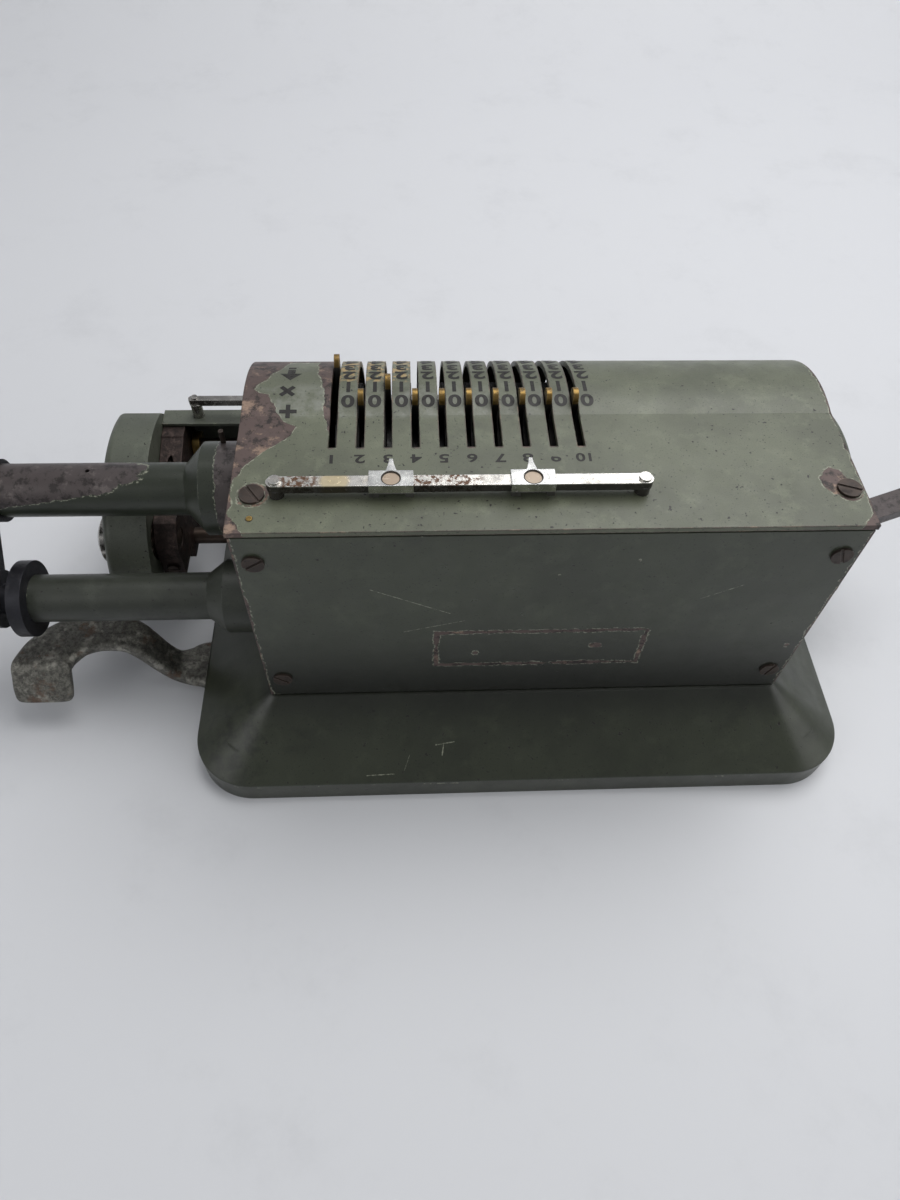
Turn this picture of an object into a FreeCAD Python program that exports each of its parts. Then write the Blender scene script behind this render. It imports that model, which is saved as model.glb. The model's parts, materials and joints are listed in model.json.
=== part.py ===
"""Pinwheel calculator: a hand-cranked desk machine with ten setting levers and a sliding carriage.

Millimetres. +Z is up, +X is the machine's right, where the crank is, and -Y is the side that
the user faces. The origin is the middle of the base, on the surface that the machine stands on.
The carriage stands where the photograph shows it, and lever 1 is set to 3 and lever 3 to 1.
"""
import FreeCAD, Part
import math
import os
import re

import Sketcher
from FreeCAD import Placement, Rotation, Vector

doc = FreeCAD.newDocument("pinwheel_calculator")
sheet = doc.addObject("Spreadsheet::Sheet", "sizes")

# Driving dimensions, in millimetres and degrees
SIZES = {
    "base_width": 247, "base_depth": 156, "base_corner": 22, "rim_bottom": 0, "rim_top": 11,
    "seat_height": 34.3, "seat_width": 187, "seat_front": -71, "seat_rear": 53.6, "seat_corner": 3,
    "deck_height": 23, "deck_rear": -17.9, "base_wall": 6, "cavity_inset_x": 22, "cavity_inset_y": 14,
    "cavity_top": 18, "seat_hole_width": 168, "seat_hole_front": -14, "seat_hole_rear": 46,
    "foot_radius": 8, "foot_height": 4, "foot_inset_x": 20.5, "foot_inset_y": 18,
    "case_width": 186.2, "case_rear": 53, "flat_height": 124.4, "cover_thickness": 1.8,
    "drum_y": -4, "drum_z": 82.3, "hump_radius": 43.2, "apron_angle": 80, "apron_bottom": 63,
    "plate_thickness": 1.6, "plate_gap": 0.5, "frame_thickness": 5, "frame_inset": 0.6, "seat_gap": 0.3,
    "frame_front": -45.5, "lug_width": 9, "lug_size": 11,
    "screw_head_radius": 3.6, "screw_head_height": 0.9, "screw_radius": 1.6, "screw_length": 7,
    "screw_slot": 0.9, "cover_screw_inset": 6.6, "cover_screw_left_inset": 4.8, "cover_screw_y": 38.8,
    "locating_pin_inset": 6.7, "locating_pin_y": 47.7, "locating_pin_radius": 0.9, "locating_pin_height": 0.3,
    "oil_pin_x": 105.6, "oil_pin_y": -12, "oil_pin_radius": 0.9, "oil_pin_height": 3.4,
    "plate_screw_inset": 6.2, "plate_screw_low": 46, "plate_screw_high": 111.2, "plate_screw_radius": 3.3,
    "slot_pitch": 8.4, "slot_count": 10, "first_slot": 64.5, "slot_width": 2.4,
    "slot_radius": 48.3, "tip_radius": 47.6, "tip_width": 5.2, "lever_thickness": 1.7,
    "zero_angle": 5.3, "digit_angle": 8.8, "ring_radius": 30, "side_gap": 0.15,
    "disc_radius": 36, "hub_radius": 20, "shaft_radius": 6, "fit": 0.05, "running_fit": 0.08,
    "pin_radius": 1.2, "pin_inner": 29.3, "pin_out": 39.4, "pin_in": 35.8, "pin_start": 60,
    "bush_radius": 10, "bush_length": 9,
    "boss_radius": 16.5, "boss_length": 20, "tube_radius": 9.35, "tube_end": 183, "cone_length": 6.5,
    "post_y": 22, "post_z": 53.5, "post_boss_radius": 13.6, "post_boss_length": 15,
    "post_radius": 8.6, "post_end": 176.4,
    "disc_plate_radius": 13.8, "disc_plate_thickness": 4.9, "pin_hole_radius": 3.4,
    "crank_gap": 0.3, "crank_boss_radius": 5.5, "arm_start": 191, "arm_thickness": 6.5,
    "crank_hub_radius": 11, "crank_end_radius": 10.5, "crank_step": 3.5, "crank_hub_length": 10,
    "nut_radius": 6.5,
    "nut_height": 4, "lock_pin_radius": 3, "grip_start": 198.5, "grip_length": 40,
    "grip_radius": 10.5, "grip_neck": 7.5, "grip_play": 0.4, "pin_head_radius": 5, "pin_head": 2,
    "bar_y": 38.6, "bar_width": 4, "bar_thickness": 2.8, "bar_lift": 2.6, "bar_right": 81.9,
    "bar_left": -28.8, "bar_end": 2.5, "bar_post_radius": 2.2,
    "rivet_height": 0.8, "slider_width": 12.7, "slider_wall": 0.9, "notch_height": 1.4,
    "slider_1_x": 46.6, "slider_2_x": 6.1, "pointer_length": 5.6,
    "pointer_width": 4.2, "recess_radius": 2.7, "recess_depth": 0.45,
    "idler_y": -38.1, "idler_z": 44.1, "idler_radius": 10.2, "idler_root": 8, "idler_teeth": 11,
    "idler_width": 3, "idler_shaft": 2, "idler_count": 13,
    "carry_y": -47, "carry_z": 31, "carry_radius": 2, "carry_hub": 4.2, "carry_width": 1.6,
    "carry_reach": 12, "carry_count": 12,
    "carriage_right": 157.1, "carriage_left": -132.9, "cap_width_right": 17.1, "cap_width_left": 16,
    "cap_y": -38.5, "cap_z": 27, "cap_radius": 48, "cap_bottom": 31.6, "cap_round": 3.4, "cap_lip": 1,
    "cap_flat": 43.5, "end_frame_right": 8.6, "end_frame_left": 5.3,
    "dial_y": -57, "dial_z": 53, "dial_shaft": 2.5, "dial_radius": 10.3,
    "dial_width": 5.4, "dial_root": 8.6, "dial_teeth": 10, "dial_gear": 2.4, "dial_offset": 3.4,
    "result_count": 13, "counter_count": 8, "carriage_steps": 4, "register_gap": 4,
    "slide_y": -26, "slide_z": 31, "slide_radius": 3.5, "ridge_rear": -52.4, "ridge_front": -60.6,
    "ridge_height": 68.6, "front_y": -78.6, "carriage_bottom": 31, "sheet": 1.2,
    "window_width": 5.6, "window_height": 8.5, "collar_radius": 5.5, "collar_width": 3,
    "runner_front": -77, "runner_rear": -63, "runner_bottom": 27.3, "rail_front": -73,
    "rail_rear": -67, "rail_top": 27, "rail_half": 104,
    "carriage_bar_y": -57.5, "carriage_bar_z": 74.6, "carriage_bar_right": 128.4, "carriage_bar_width": 2.8,
    "carriage_bar_left": -98, "carriage_slider_1_x": 70, "carriage_slider_2_x": -55,
    "clear_y": -10.3, "clear_z": 48.5, "clear_shaft": 4, "clear_hub": 9.2, "clear_plate": 3.2,
    "clear_gap": 0.3, "clear_dome": 2.8, "clear_crown": 4.4, "clear_gear_width": 4,
    "clear_arm_y": -55, "clear_arm_z": 40, "clear_end": 4.2,
    "clear_tab": 8.3, "clear_gear": 8, "clear_gear_root": 6.4, "clear_gear_teeth": 12,
    "finger_width": 10.8, "finger_thickness": 4.5, "finger_reach": 30, "finger_sweep": 10,
    "finger_y": -11.1, "finger_z": 53,
    "latch_width": 16, "latch_y": -73, "latch_z": 34.2, "latch_pin": 1.2, "latch_hub": 2.6,
    "latch_front": -87, "latch_thickness": 2, "latch_post": 2.2,
    "pivot_x": 107.1, "pivot_y": 23, "pivot_radius": 3, "pivot_head": 6, "lever_hub": 10,
    "lever_low": 2.6, "lever_bar": 5.8, "lever_high": 28, "pad_front": 30.5, "pad_ridge": 34.6,
    "pad_rear": 44.6, "pad_left": 171, "pad_right": 193, "pad_bottom": 12.6, "pad_round": 4,
    "lever_slot_front": 5.5,
    "lever_slot_rear": 35, "lever_slot_top": 11,
}
# Value that each setting lever stands at, from the right
LEVER_VALUES = [3, 0, 1, 0, 0, 0, 0, 0, 0, 0]
PIN_COUNT = 9

for row, (alias, value) in enumerate(SIZES.items(), start=1):
    sheet.set("A%d" % row, alias)
    sheet.set("B%d" % row, str(value))
    sheet.setAlias("B%d" % row, alias)
doc.recompute()

ALONG_X = Rotation(Vector(0, 1, 0), 90)
ALONG_Y = Rotation(Vector(1, 0, 0), -90)
NODES = []


def formula(text):
    """The text with each name of a size written as its cell in the sheet."""
    return re.sub(r"[a-z_][a-z_0-9]*", lambda word: cell(word.group(0)), str(text))


def cell(word):
    return "sizes." + word if word in SIZES else word


def number(text):
    """The value that an expression in the sizes has now."""
    return float(sheet.evalExpression(formula(text)))


def bind(item, **sizes):
    for name, text in sizes.items():
        item.setExpression(name, formula(text))
    return item


def put(item, x="0", y="0", z="0", turn=None):
    """Place an item, with its coordinates bound to the sheet."""
    if turn is not None:
        item.Placement = Placement(Vector(), turn)
    for axis, text in zip("xyz", (x, y, z)):
        item.setExpression("Placement.Base." + axis, formula(text))
    return item


def node(item, label):
    """Name a finished sub-part, which is written to a file of that name."""
    item.Label = label
    NODES.append(item)
    return item


def block(x0, x1, y0, y1, z0, z1):
    box = bind(doc.addObject("Part::Box", "block"), Length="(%s) - (%s)" % (x1, x0),
               Width="(%s) - (%s)" % (y1, y0), Height="(%s) - (%s)" % (z1, z0))
    return put(box, x0, y0, z0)


def rod(x0, x1, y, z, radius):
    """A round bar along X."""
    bar = bind(doc.addObject("Part::Cylinder", "rod"), Radius=radius, Height="(%s) - (%s)" % (x1, x0))
    return put(bar, x0, y, z, ALONG_X)


def post(x, y, z0, z1, radius):
    """A round bar along Z."""
    bar = bind(doc.addObject("Part::Cylinder", "post"), Radius=radius, Height="(%s) - (%s)" % (z1, z0))
    return put(bar, x, y, z0)


def stud(x, y0, y1, z, radius):
    """A round bar along Y."""
    bar = bind(doc.addObject("Part::Cylinder", "stud"), Radius=radius, Height="(%s) - (%s)" % (y1, y0))
    return put(bar, x, y0, z, ALONG_Y)


def taper(x0, x1, y, z, radius0, radius1):
    """A cone along X from radius0 at x0 to radius1 at x1."""
    cone = bind(doc.addObject("Part::Cone", "taper"), Radius1=radius0, Radius2=radius1,
                Height="(%s) - (%s)" % (x1, x0))
    return put(cone, x0, y, z, ALONG_X)


def fuse(*pieces):
    joined = doc.addObject("Part::MultiFuse", "fuse")
    joined.Shapes = list(pieces)
    return joined


def group(pieces):
    """Separate solids that share one sub-part."""
    together = doc.addObject("Part::Compound", "group")
    together.Links = list(pieces)
    return together


def cut(base, *tools):
    result = doc.addObject("Part::Cut", "cut")
    result.Base = base
    result.Tool = tools[0] if len(tools) == 1 else group(tools)
    return result


def common(first, second):
    result = doc.addObject("Part::MultiCommon", "common")
    result.Shapes = [first, second]
    return result


def rounded(base, radius, wanted):
    """Round the edges of base that the test wanted(edge) picks."""
    doc.recompute()
    fillet = doc.addObject("Part::Fillet", "rounded")
    fillet.Base = base
    size = number(radius)
    picked = [i for i, edge in enumerate(base.Shape.Edges, start=1) if wanted(edge)]
    fillet.Edges = [(i, size, size) for i in picked]
    return fillet


def plane_sketch(body, role):
    """A sketch on one of the body's own origin planes."""
    sketch = body.newObject("Sketcher::SketchObject", "outline")
    plane = [item for item in body.Origin.OriginFeatures if item.Role == role][0]
    sketch.AttachmentSupport = [(plane, "")]
    sketch.MapMode = "FlatFace"
    return sketch


def draw_outline(sketch, points):
    """A closed outline of straight lines, with each corner bound to the sheet."""
    values = [Vector(number(a), number(b), 0) for a, b in points]
    count = len(points)
    for i in range(count):
        sketch.addGeometry(Part.LineSegment(values[i], values[(i + 1) % count]), False)
    for i in range(count):
        sketch.addConstraint(Sketcher.Constraint("Coincident", i, 2, (i + 1) % count, 1))
    for i, (a, b) in enumerate(points):
        for kind, text, value in (("DistanceX", a, values[i].x), ("DistanceY", b, values[i].y)):
            index = sketch.addConstraint(Sketcher.Constraint(kind, -1, 1, i, 1, value))
            sketch.setExpression("Constraints[%d]" % index, formula(text))


def padded(role, points, length):
    """A body that is an outline on an origin plane, padded by a length."""
    body = doc.addObject("PartDesign::Body", "body")
    sketch = plane_sketch(body, role)
    draw_outline(sketch, points)
    pad = body.newObject("PartDesign::Pad", "pad")
    pad.Profile = sketch
    bind(pad, Length=length)
    sketch.Visibility = False
    return body


def plate_x(points, x0, x1):
    """An outline in Y and Z, thick along X."""
    return put(padded("YZ_Plane", points, "(%s) - (%s)" % (x1, x0)), x=x0)


def plate_y(points, y0, y1):
    """An outline in X and Z, thick along Y."""
    return put(padded("XZ_Plane", points, "(%s) - (%s)" % (y1, y0)), y=y1)


def plate_z(points, z0, z1):
    """An outline in X and Y, thick along Z."""
    return put(padded("XY_Plane", points, "(%s) - (%s)" % (z1, z0)), z=z0)


def draw_round_rectangle(sketch, width, depth, radius, middle):
    """A rectangle with round corners, its middle at (0, middle)."""
    half_w, half_d = number(width) / 2, number(depth) / 2
    r, mid = number(radius), number(middle)
    ends = [(-half_w, -half_d), (half_w, -half_d), (half_w, half_d), (-half_w, half_d)]
    centres = [Vector(x - math.copysign(r, x), y - math.copysign(r, y) + mid, 0) for x, y in ends]
    for i, centre in enumerate(centres):
        start = math.pi + i * math.pi / 2
        circle = Part.Circle(centre, Vector(0, 0, 1), r)
        sketch.addGeometry(Part.ArcOfCircle(circle, start, start + math.pi / 2), False)
    for i, centre in enumerate(centres):
        after = centres[(i + 1) % 4]
        out = Vector(math.sin(i * math.pi / 2), -math.cos(i * math.pi / 2), 0) * r
        sketch.addGeometry(Part.LineSegment(centre + out, after + out), False)
    for i in range(4):
        sketch.addConstraint(Sketcher.Constraint("Tangent", i, 2, 4 + i, 1))
        sketch.addConstraint(Sketcher.Constraint("Tangent", 4 + i, 2, (i + 1) % 4, 1))
        sketch.addConstraint(Sketcher.Constraint("Horizontal" if i % 2 == 0 else "Vertical", 4 + i))
    for i in range(1, 4):
        sketch.addConstraint(Sketcher.Constraint("Equal", 0, i))
    for kind, a, b, text in (("DistanceX", (0, 3), (1, 3), "%s - 2 * (%s)" % (width, radius)),
                             ("DistanceY", (1, 3), (2, 3), "%s - 2 * (%s)" % (depth, radius)),
                             ("DistanceX", (-1, 1), (1, 3), "(%s) / 2 - (%s)" % (width, radius)),
                             ("DistanceY", (-1, 1), (2, 3),
                              "(%s) / 2 - (%s) + (%s)" % (depth, radius, middle))):
        index = sketch.addConstraint(Sketcher.Constraint(kind, *a, *b, number(text)))
        sketch.setExpression("Constraints[%d]" % index, formula(text))
    index = sketch.addConstraint(Sketcher.Constraint("Radius", 0, r))
    sketch.setExpression("Constraints[%d]" % index, formula(radius))


def skirt(low, middle_height, high, lower, upper):
    """A rim that stands straight from low to middle_height, then slopes in to high.

    lower and upper are (width, depth, corner radius, middle) of the outline at each end.
    """
    body = doc.addObject("PartDesign::Body", "skirt")
    outlines = []
    for height, size in ((low, lower), (middle_height, lower), (high, upper)):
        sketch = plane_sketch(body, "XY_Plane")
        draw_round_rectangle(sketch, *size)
        sketch.setExpression("AttachmentOffset.Base.z", formula(height))
        outlines.append(sketch)
    pad = body.newObject("PartDesign::Pad", "rim")
    pad.Profile = outlines[0]
    bind(pad, Length="(%s) - (%s)" % (middle_height, low))
    doc.recompute()
    slope = body.newObject("PartDesign::AdditiveLoft", "slope")
    slope.Profile = outlines[1]
    slope.Sections = [outlines[2]]
    slope.Ruled = True
    body.Tip = slope
    return body


def case_fill(inset, x0, x1, rear):
    """The space under the case's top: flat at the back, round over the drum, sloping down in front."""
    radius = "(hump_radius - %s)" % inset
    top_y = "drum_y - %s * sin(apron_angle)" % radius
    top_z = "drum_z + %s * cos(apron_angle)" % radius
    end_y = "%s - (%s - apron_bottom) / tan(apron_angle)" % (top_y, top_z)
    back = block(x0, x1, "drum_y", rear, "apron_bottom", "flat_height - %s" % inset)
    hump = rod(x0, x1, "drum_y", "drum_z", radius)
    apron = plate_x([("drum_y", "apron_bottom"), (end_y, "apron_bottom"), (top_y, top_z),
                     ("drum_y", "drum_z")], x0, x1)
    limit = block(x0, x1, "drum_y - 2 * hump_radius", "%s + 1" % rear, "apron_bottom",
                  "drum_z + 2 * hump_radius")
    return common(fuse(back, hump, apron), limit)


def slotted_screw(x, y, z, turn, radius="screw_head_radius", spin=0):
    """A cheese-head screw with its head's underside at (x, y, z), standing along local Z."""
    head = post("0", "0", "0", "screw_head_height", radius)
    shank = post("0", "0", "-screw_length", "screw_head_height / 2", "screw_radius - fit")
    reach = "%s + 1" % radius
    slot = block("-(%s)" % reach, reach, "-screw_slot / 2", "screw_slot / 2",
                 "screw_head_height / 2", "screw_head_height + 1")
    slot.Placement = Placement(Vector(), Rotation(Vector(0, 0, 1), spin))
    slot_corner = Rotation(Vector(0, 0, 1), spin)
    corner = slot_corner.multVec(Vector(-number(reach), -number("screw_slot") / 2, 0))
    slot.setExpression("Placement.Base.x", None)
    slot.setExpression("Placement.Base.y", None)
    slot.setExpression("Placement.Base.z", None)
    slot.Placement.Base = corner + Vector(0, 0, number("screw_head_height / 2"))
    return put(cut(fuse(head, shank), slot), x, y, z, turn)


def shape_node(shape, label):
    """A sub-part whose shape is worked out here from the sheet's sizes."""
    feature = doc.addObject("Part::Feature", label)
    feature.Shape = shape
    return node(feature, label)


def gear_shape(teeth, outer, root, x0, width, y, z, bore):
    """A spur gear along X with straight-flanked teeth; bore 0 leaves it solid."""
    points = []
    step = 2 * math.pi / teeth
    for i in range(teeth):
        middle = i * step
        for turn, radius in ((-0.30, root), (-0.14, outer), (0.14, outer), (0.30, root)):
            angle = middle + turn * step
            points.append(Vector(x0, y + radius * math.cos(angle), z + radius * math.sin(angle)))
    face = Part.Face(Part.makePolygon(points + [points[0]]))
    solid = face.extrude(Vector(width, 0, 0))
    if bore:
        hole = Part.makeCylinder(bore, width + 2, Vector(x0 - 1, y, z), Vector(1, 0, 0))
        solid = solid.cut(hole)
    return solid


def on_circle(radius, angle):
    """A point at a radius from the drum's axis; the angle is from the top towards the rear."""
    turn = math.radians(angle)
    return Vector(0, number("drum_y") + radius * math.sin(turn), number("drum_z") + radius * math.cos(turn))


def build_base():
    lower = ("base_width", "base_depth", "base_corner", "0")
    upper = ("seat_width", "(seat_rear - seat_front)", "seat_corner", "(seat_rear + seat_front) / 2")
    outer = skirt("rim_bottom", "rim_top", "seat_height", lower, upper)
    inner_low = ("(base_width - 2 * base_wall)", "(base_depth - 2 * base_wall)", "base_corner - base_wall", "0")
    inner_high = ("(base_width - 2 * cavity_inset_x)", "(base_depth - 2 * cavity_inset_y)", "seat_corner", "0")
    cavity = skirt("rim_bottom - 1", "rim_top", "cavity_top", inner_low, inner_high)
    deck = block("-base_width", "base_width", "-base_depth", "deck_rear", "deck_height", "seat_height + 1")
    opening = block("-seat_hole_width / 2", "seat_hole_width / 2", "seat_hole_front", "seat_hole_rear",
                    "cavity_top - 1", "seat_height + 1")
    lever_slot = block("base_width / 2 - base_wall - 3", "base_width / 2 + 1", "lever_slot_front",
                       "lever_slot_rear", "rim_bottom - 1", "lever_slot_top")
    shell = cut(outer, cavity, deck, opening, lever_slot)
    corners = [("%s(base_width / 2 - foot_inset_x)" % a, "%s(base_depth / 2 - foot_inset_y)" % b)
               for a in ("-", "") for b in ("-", "")]
    bosses = [post(x, y, "foot_height", "cavity_top + 1", "foot_radius") for x, y in corners]
    pivot_boss = post("pivot_x", "pivot_y", "lever_low + lever_bar + 2.5", "cavity_top + 1", "pivot_head")
    pivot_hole = post("pivot_x", "pivot_y", "0", "cavity_top", "pivot_radius + fit")
    node(cut(fuse(shell, *bosses, pivot_boss), pivot_hole), "base_casting")
    node(group([post(x, y, "0", "foot_height", "foot_radius") for x, y in corners]), "rubber_feet")


def build_side_frame(side, label):
    """One of the two cast plates that carry the shafts; side is 1 for the right and -1 for the left."""
    edge = "(case_width / 2 - frame_inset)"
    inner = "(%s - frame_thickness)" % edge
    x0, x1 = (inner, edge) if side > 0 else ("-" + edge, "-" + inner)
    rear = "case_rear - plate_thickness"
    upper = case_fill("cover_thickness", x0, x1, rear)
    join = "apron_bottom + 1"
    lower = plate_x([(rear, "seat_height"), (rear, join), ("frame_front", join),
                     ("frame_front", "deck_height"), ("deck_rear - seat_gap", "deck_height"),
                     ("deck_rear - seat_gap", "seat_height")], x0, x1)
    depth = "(%s - lug_width)" % inner
    lug0, lug1 = (depth, edge) if side > 0 else ("-" + edge, "-" + depth)
    half = "lug_size / 2"
    under = "flat_height - cover_thickness"
    lugs = [block(lug0, lug1, "cover_screw_y - " + half, "cover_screw_y + " + half,
                  under + " - lug_size", under)]
    for height in ("plate_screw_low", "plate_screw_high"):
        lugs.append(block(lug0, lug1, rear + " - lug_size", rear, "%s - %s" % (height, half),
                          "%s + %s" % (height, half)))
    body = fuse(upper, lower, *lugs)
    far = "%d * (case_width / 2 - frame_thickness / 2)" % side
    reach = "frame_thickness * 2"
    span = (far + " - " + reach, far + " + " + reach)
    shaft_hole = "bush_radius" if side < 0 else "shaft_radius + 1"
    holes = [rod(*span, "drum_y", "drum_z", shaft_hole),
             rod(*span, "idler_y", "idler_z", "idler_shaft + fit"),
             rod(*span, "carry_y", "carry_z", "carry_radius + fit"),
             rod(*span, "slide_y", "slide_z", "slide_radius + running_fit"),
             post("(case_width / 2 - cover_screw_inset)" if side > 0 else "-(case_width / 2 - cover_screw_left_inset)", "cover_screw_y",
                  under + " - lug_size - 1", "flat_height", "screw_radius")]
    for height in ("plate_screw_low", "plate_screw_high"):
        holes.append(stud("%d * (case_width / 2 - plate_screw_inset)" % side, rear + " - lug_size - 1", "case_rear", height,
                          "screw_radius"))
    return node(cut(body, *holes), label)


def build_case():
    half = "case_width / 2"
    outer = case_fill("0", "-" + half, half, "case_rear")
    inner = case_fill("cover_thickness", "-%s - 1" % half, half + " + 1", "case_rear + 1")
    slots = []
    for i in range(int(number("slot_count"))):
        middle = "first_slot - %d * slot_pitch" % i
        slots.append(rod(middle + " - slot_width / 2", middle + " + slot_width / 2", "drum_y", "drum_z",
                         "slot_radius"))
    holes = [post(x, "cover_screw_y", "flat_height - cover_thickness - 1", "flat_height + 1",
                  "screw_radius + fit") for x in ("(case_width / 2 - cover_screw_inset)", "-(case_width / 2 - cover_screw_left_inset)")]
    holes.append(post("(case_width / 2 - locating_pin_inset)", "locating_pin_y", "flat_height - cover_thickness - 1",
                      "flat_height + 1", "locating_pin_radius + 0.02"))
    node(cut(outer, fuse(inner, *slots, *holes)), "slotted_cover")
    edge = half + " - frame_inset"
    plate = block("-(%s)" % edge, edge, "case_rear - plate_thickness", "case_rear",
                  "seat_height + plate_gap", "flat_height - cover_thickness - plate_gap")
    plate_holes = [stud(x, "case_rear - plate_thickness - 1", "case_rear + 1", z, "screw_radius + fit")
                   for x in ("(case_width / 2 - plate_screw_inset)", "-(case_width / 2 - plate_screw_inset)")
                   for z in ("plate_screw_low", "plate_screw_high")]
    node(cut(plate, *plate_holes), "rear_plate")
    screws = [slotted_screw(x, "cover_screw_y", "flat_height", Rotation(), spin=angle)
              for x, angle in (("(case_width / 2 - cover_screw_inset)", 125), ("-(case_width / 2 - cover_screw_left_inset)", 160))]
    turns = iter((140, 35, 70, 110))
    screws += [slotted_screw(x, "case_rear", z, ALONG_Y, "plate_screw_radius", next(turns))
               for x in ("(case_width / 2 - plate_screw_inset)", "-(case_width / 2 - plate_screw_inset)")
               for z in ("plate_screw_low", "plate_screw_high")]
    node(group(screws), "case_screws")
    node(post("(case_width / 2 - locating_pin_inset)", "locating_pin_y", "flat_height - cover_thickness",
              "flat_height + locating_pin_height", "locating_pin_radius"), "locating_pin")
    left = "-(case_width / 2 - frame_inset)"
    bush = rod(left, left + " + bush_length", "drum_y", "drum_z", "bush_radius - fit")
    bore = rod(left + " - 1", left + " + bush_length + 1", "drum_y", "drum_z", "shaft_radius + running_fit")
    node(cut(bush, bore), "left_shaft_bush")


def build_crank_bearings():
    start = "case_width / 2 - frame_inset"
    boss_end = start + " + boss_length"
    tube = fuse(rod(start, boss_end, "drum_y", "drum_z", "boss_radius"),
                taper(boss_end, boss_end + " + cone_length", "drum_y", "drum_z", "boss_radius", "tube_radius"),
                rod(start, "tube_end", "drum_y", "drum_z", "tube_radius"))
    bore = rod(start + " - 1", "tube_end + 1", "drum_y", "drum_z", "shaft_radius + running_fit")
    oil_hole = post("tube_end - 31", "drum_y", "drum_z", "drum_z + tube_radius + 1", "0.8")
    pin_foot, pin_top = "drum_z + boss_radius - 5", "drum_z + boss_radius + oil_pin_height"
    pin_hole = post("oil_pin_x", "oil_pin_y", pin_foot, pin_top, "oil_pin_radius + 0.02")
    node(cut(tube, bore, oil_hole, pin_hole), "crank_bearing_tube")
    node(post("oil_pin_x", "oil_pin_y", pin_foot, pin_top, "oil_pin_radius"), "oil_pin")
    post_boss_end = start + " + post_boss_length"
    node(fuse(rod(start, post_boss_end, "post_y", "post_z", "post_boss_radius"),
              taper(post_boss_end, post_boss_end + " + cone_length", "post_y", "post_z", "post_boss_radius",
                    "post_radius"),
              rod(start, "post_end", "post_y", "post_z", "post_radius")), "crank_stop_post")
    plate = rod("post_end", "post_end + disc_plate_thickness", "post_y", "post_z", "disc_plate_radius")
    hole = rod("post_end - 1", "post_end + disc_plate_thickness + 1", "post_y", "post_z", "pin_hole_radius")
    node(cut(plate, hole), "crank_stop_disc")


def build_drum():
    left = "-(case_width / 2 - frame_inset)"
    node(rod(left, "arm_start + crank_hub_length", "drum_y", "drum_z", "shaft_radius"), "main_shaft")
    discs, pins = [], []
    for i, value in enumerate(LEVER_VALUES):
        middle = "first_slot - %d * slot_pitch" % i
        hub_right = "%s + lever_thickness / 2 + side_gap" % middle
        hub_left = "%s - slot_pitch" % hub_right
        rim_right = "%s - lever_thickness / 2 - side_gap" % middle
        solid = fuse(rod(hub_left, hub_right, "drum_y", "drum_z", "hub_radius"),
                     rod(hub_left, rim_right, "drum_y", "drum_z", "disc_radius"))
        bore = rod(hub_left + " - 1", hub_right + " + 1", "drum_y", "drum_z", "shaft_radius + fit")
        pin_x = number(middle + " - dial_offset")
        radius, inner = number("pin_radius"), number("pin_inner")
        holes = []
        for k in range(PIN_COUNT):
            angle = number("pin_start") + k * number("digit_angle")
            out = (on_circle(1, angle) - on_circle(0, angle))
            foot = on_circle(inner, angle) + Vector(pin_x, 0, 0)
            reach = number("pin_out" if k < value else "pin_in") - inner
            pins.append(Part.makeCylinder(radius, reach, foot, out))
            holes.append(Part.makeCylinder(radius + number("fit"), number("disc_radius") - inner + 3,
                                           foot - out * 0.3, out))
        drilled = doc.addObject("Part::Feature", "pin_holes")
        drilled.Shape = Part.makeCompound(holes)
        discs.append(cut(solid, fuse(bore, drilled)))
    node(group(discs), "pinwheel_discs")
    shape_node(Part.makeCompound(pins), "pinwheel_pins")


def build_setting_lever(index, value):
    """A brass ring that turns on its pinwheel's hub, with a finger tip that stands out of the slot."""
    half = "lever_thickness / 2"
    ring = rod("-" + half, half, "0", "0", "ring_radius")
    tip_centre = "tip_radius - tip_width / 2"
    arm = block("-" + half, half, "-tip_width / 2", "tip_width / 2", "hub_radius + 4", tip_centre)
    tip = rod("-" + half, half, "0", tip_centre, "tip_width / 2")
    bore = rod("-lever_thickness", "lever_thickness", "0", "0", "hub_radius + running_fit")
    lever = cut(fuse(ring, arm, tip), bore)
    angle = number("zero_angle") - value * number("digit_angle")
    put(lever, "first_slot - %d * slot_pitch" % index, "drum_y", "drum_z", Rotation(Vector(1, 0, 0), -angle))
    node(lever, "setting_lever_%d" % (index + 1))


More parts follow.
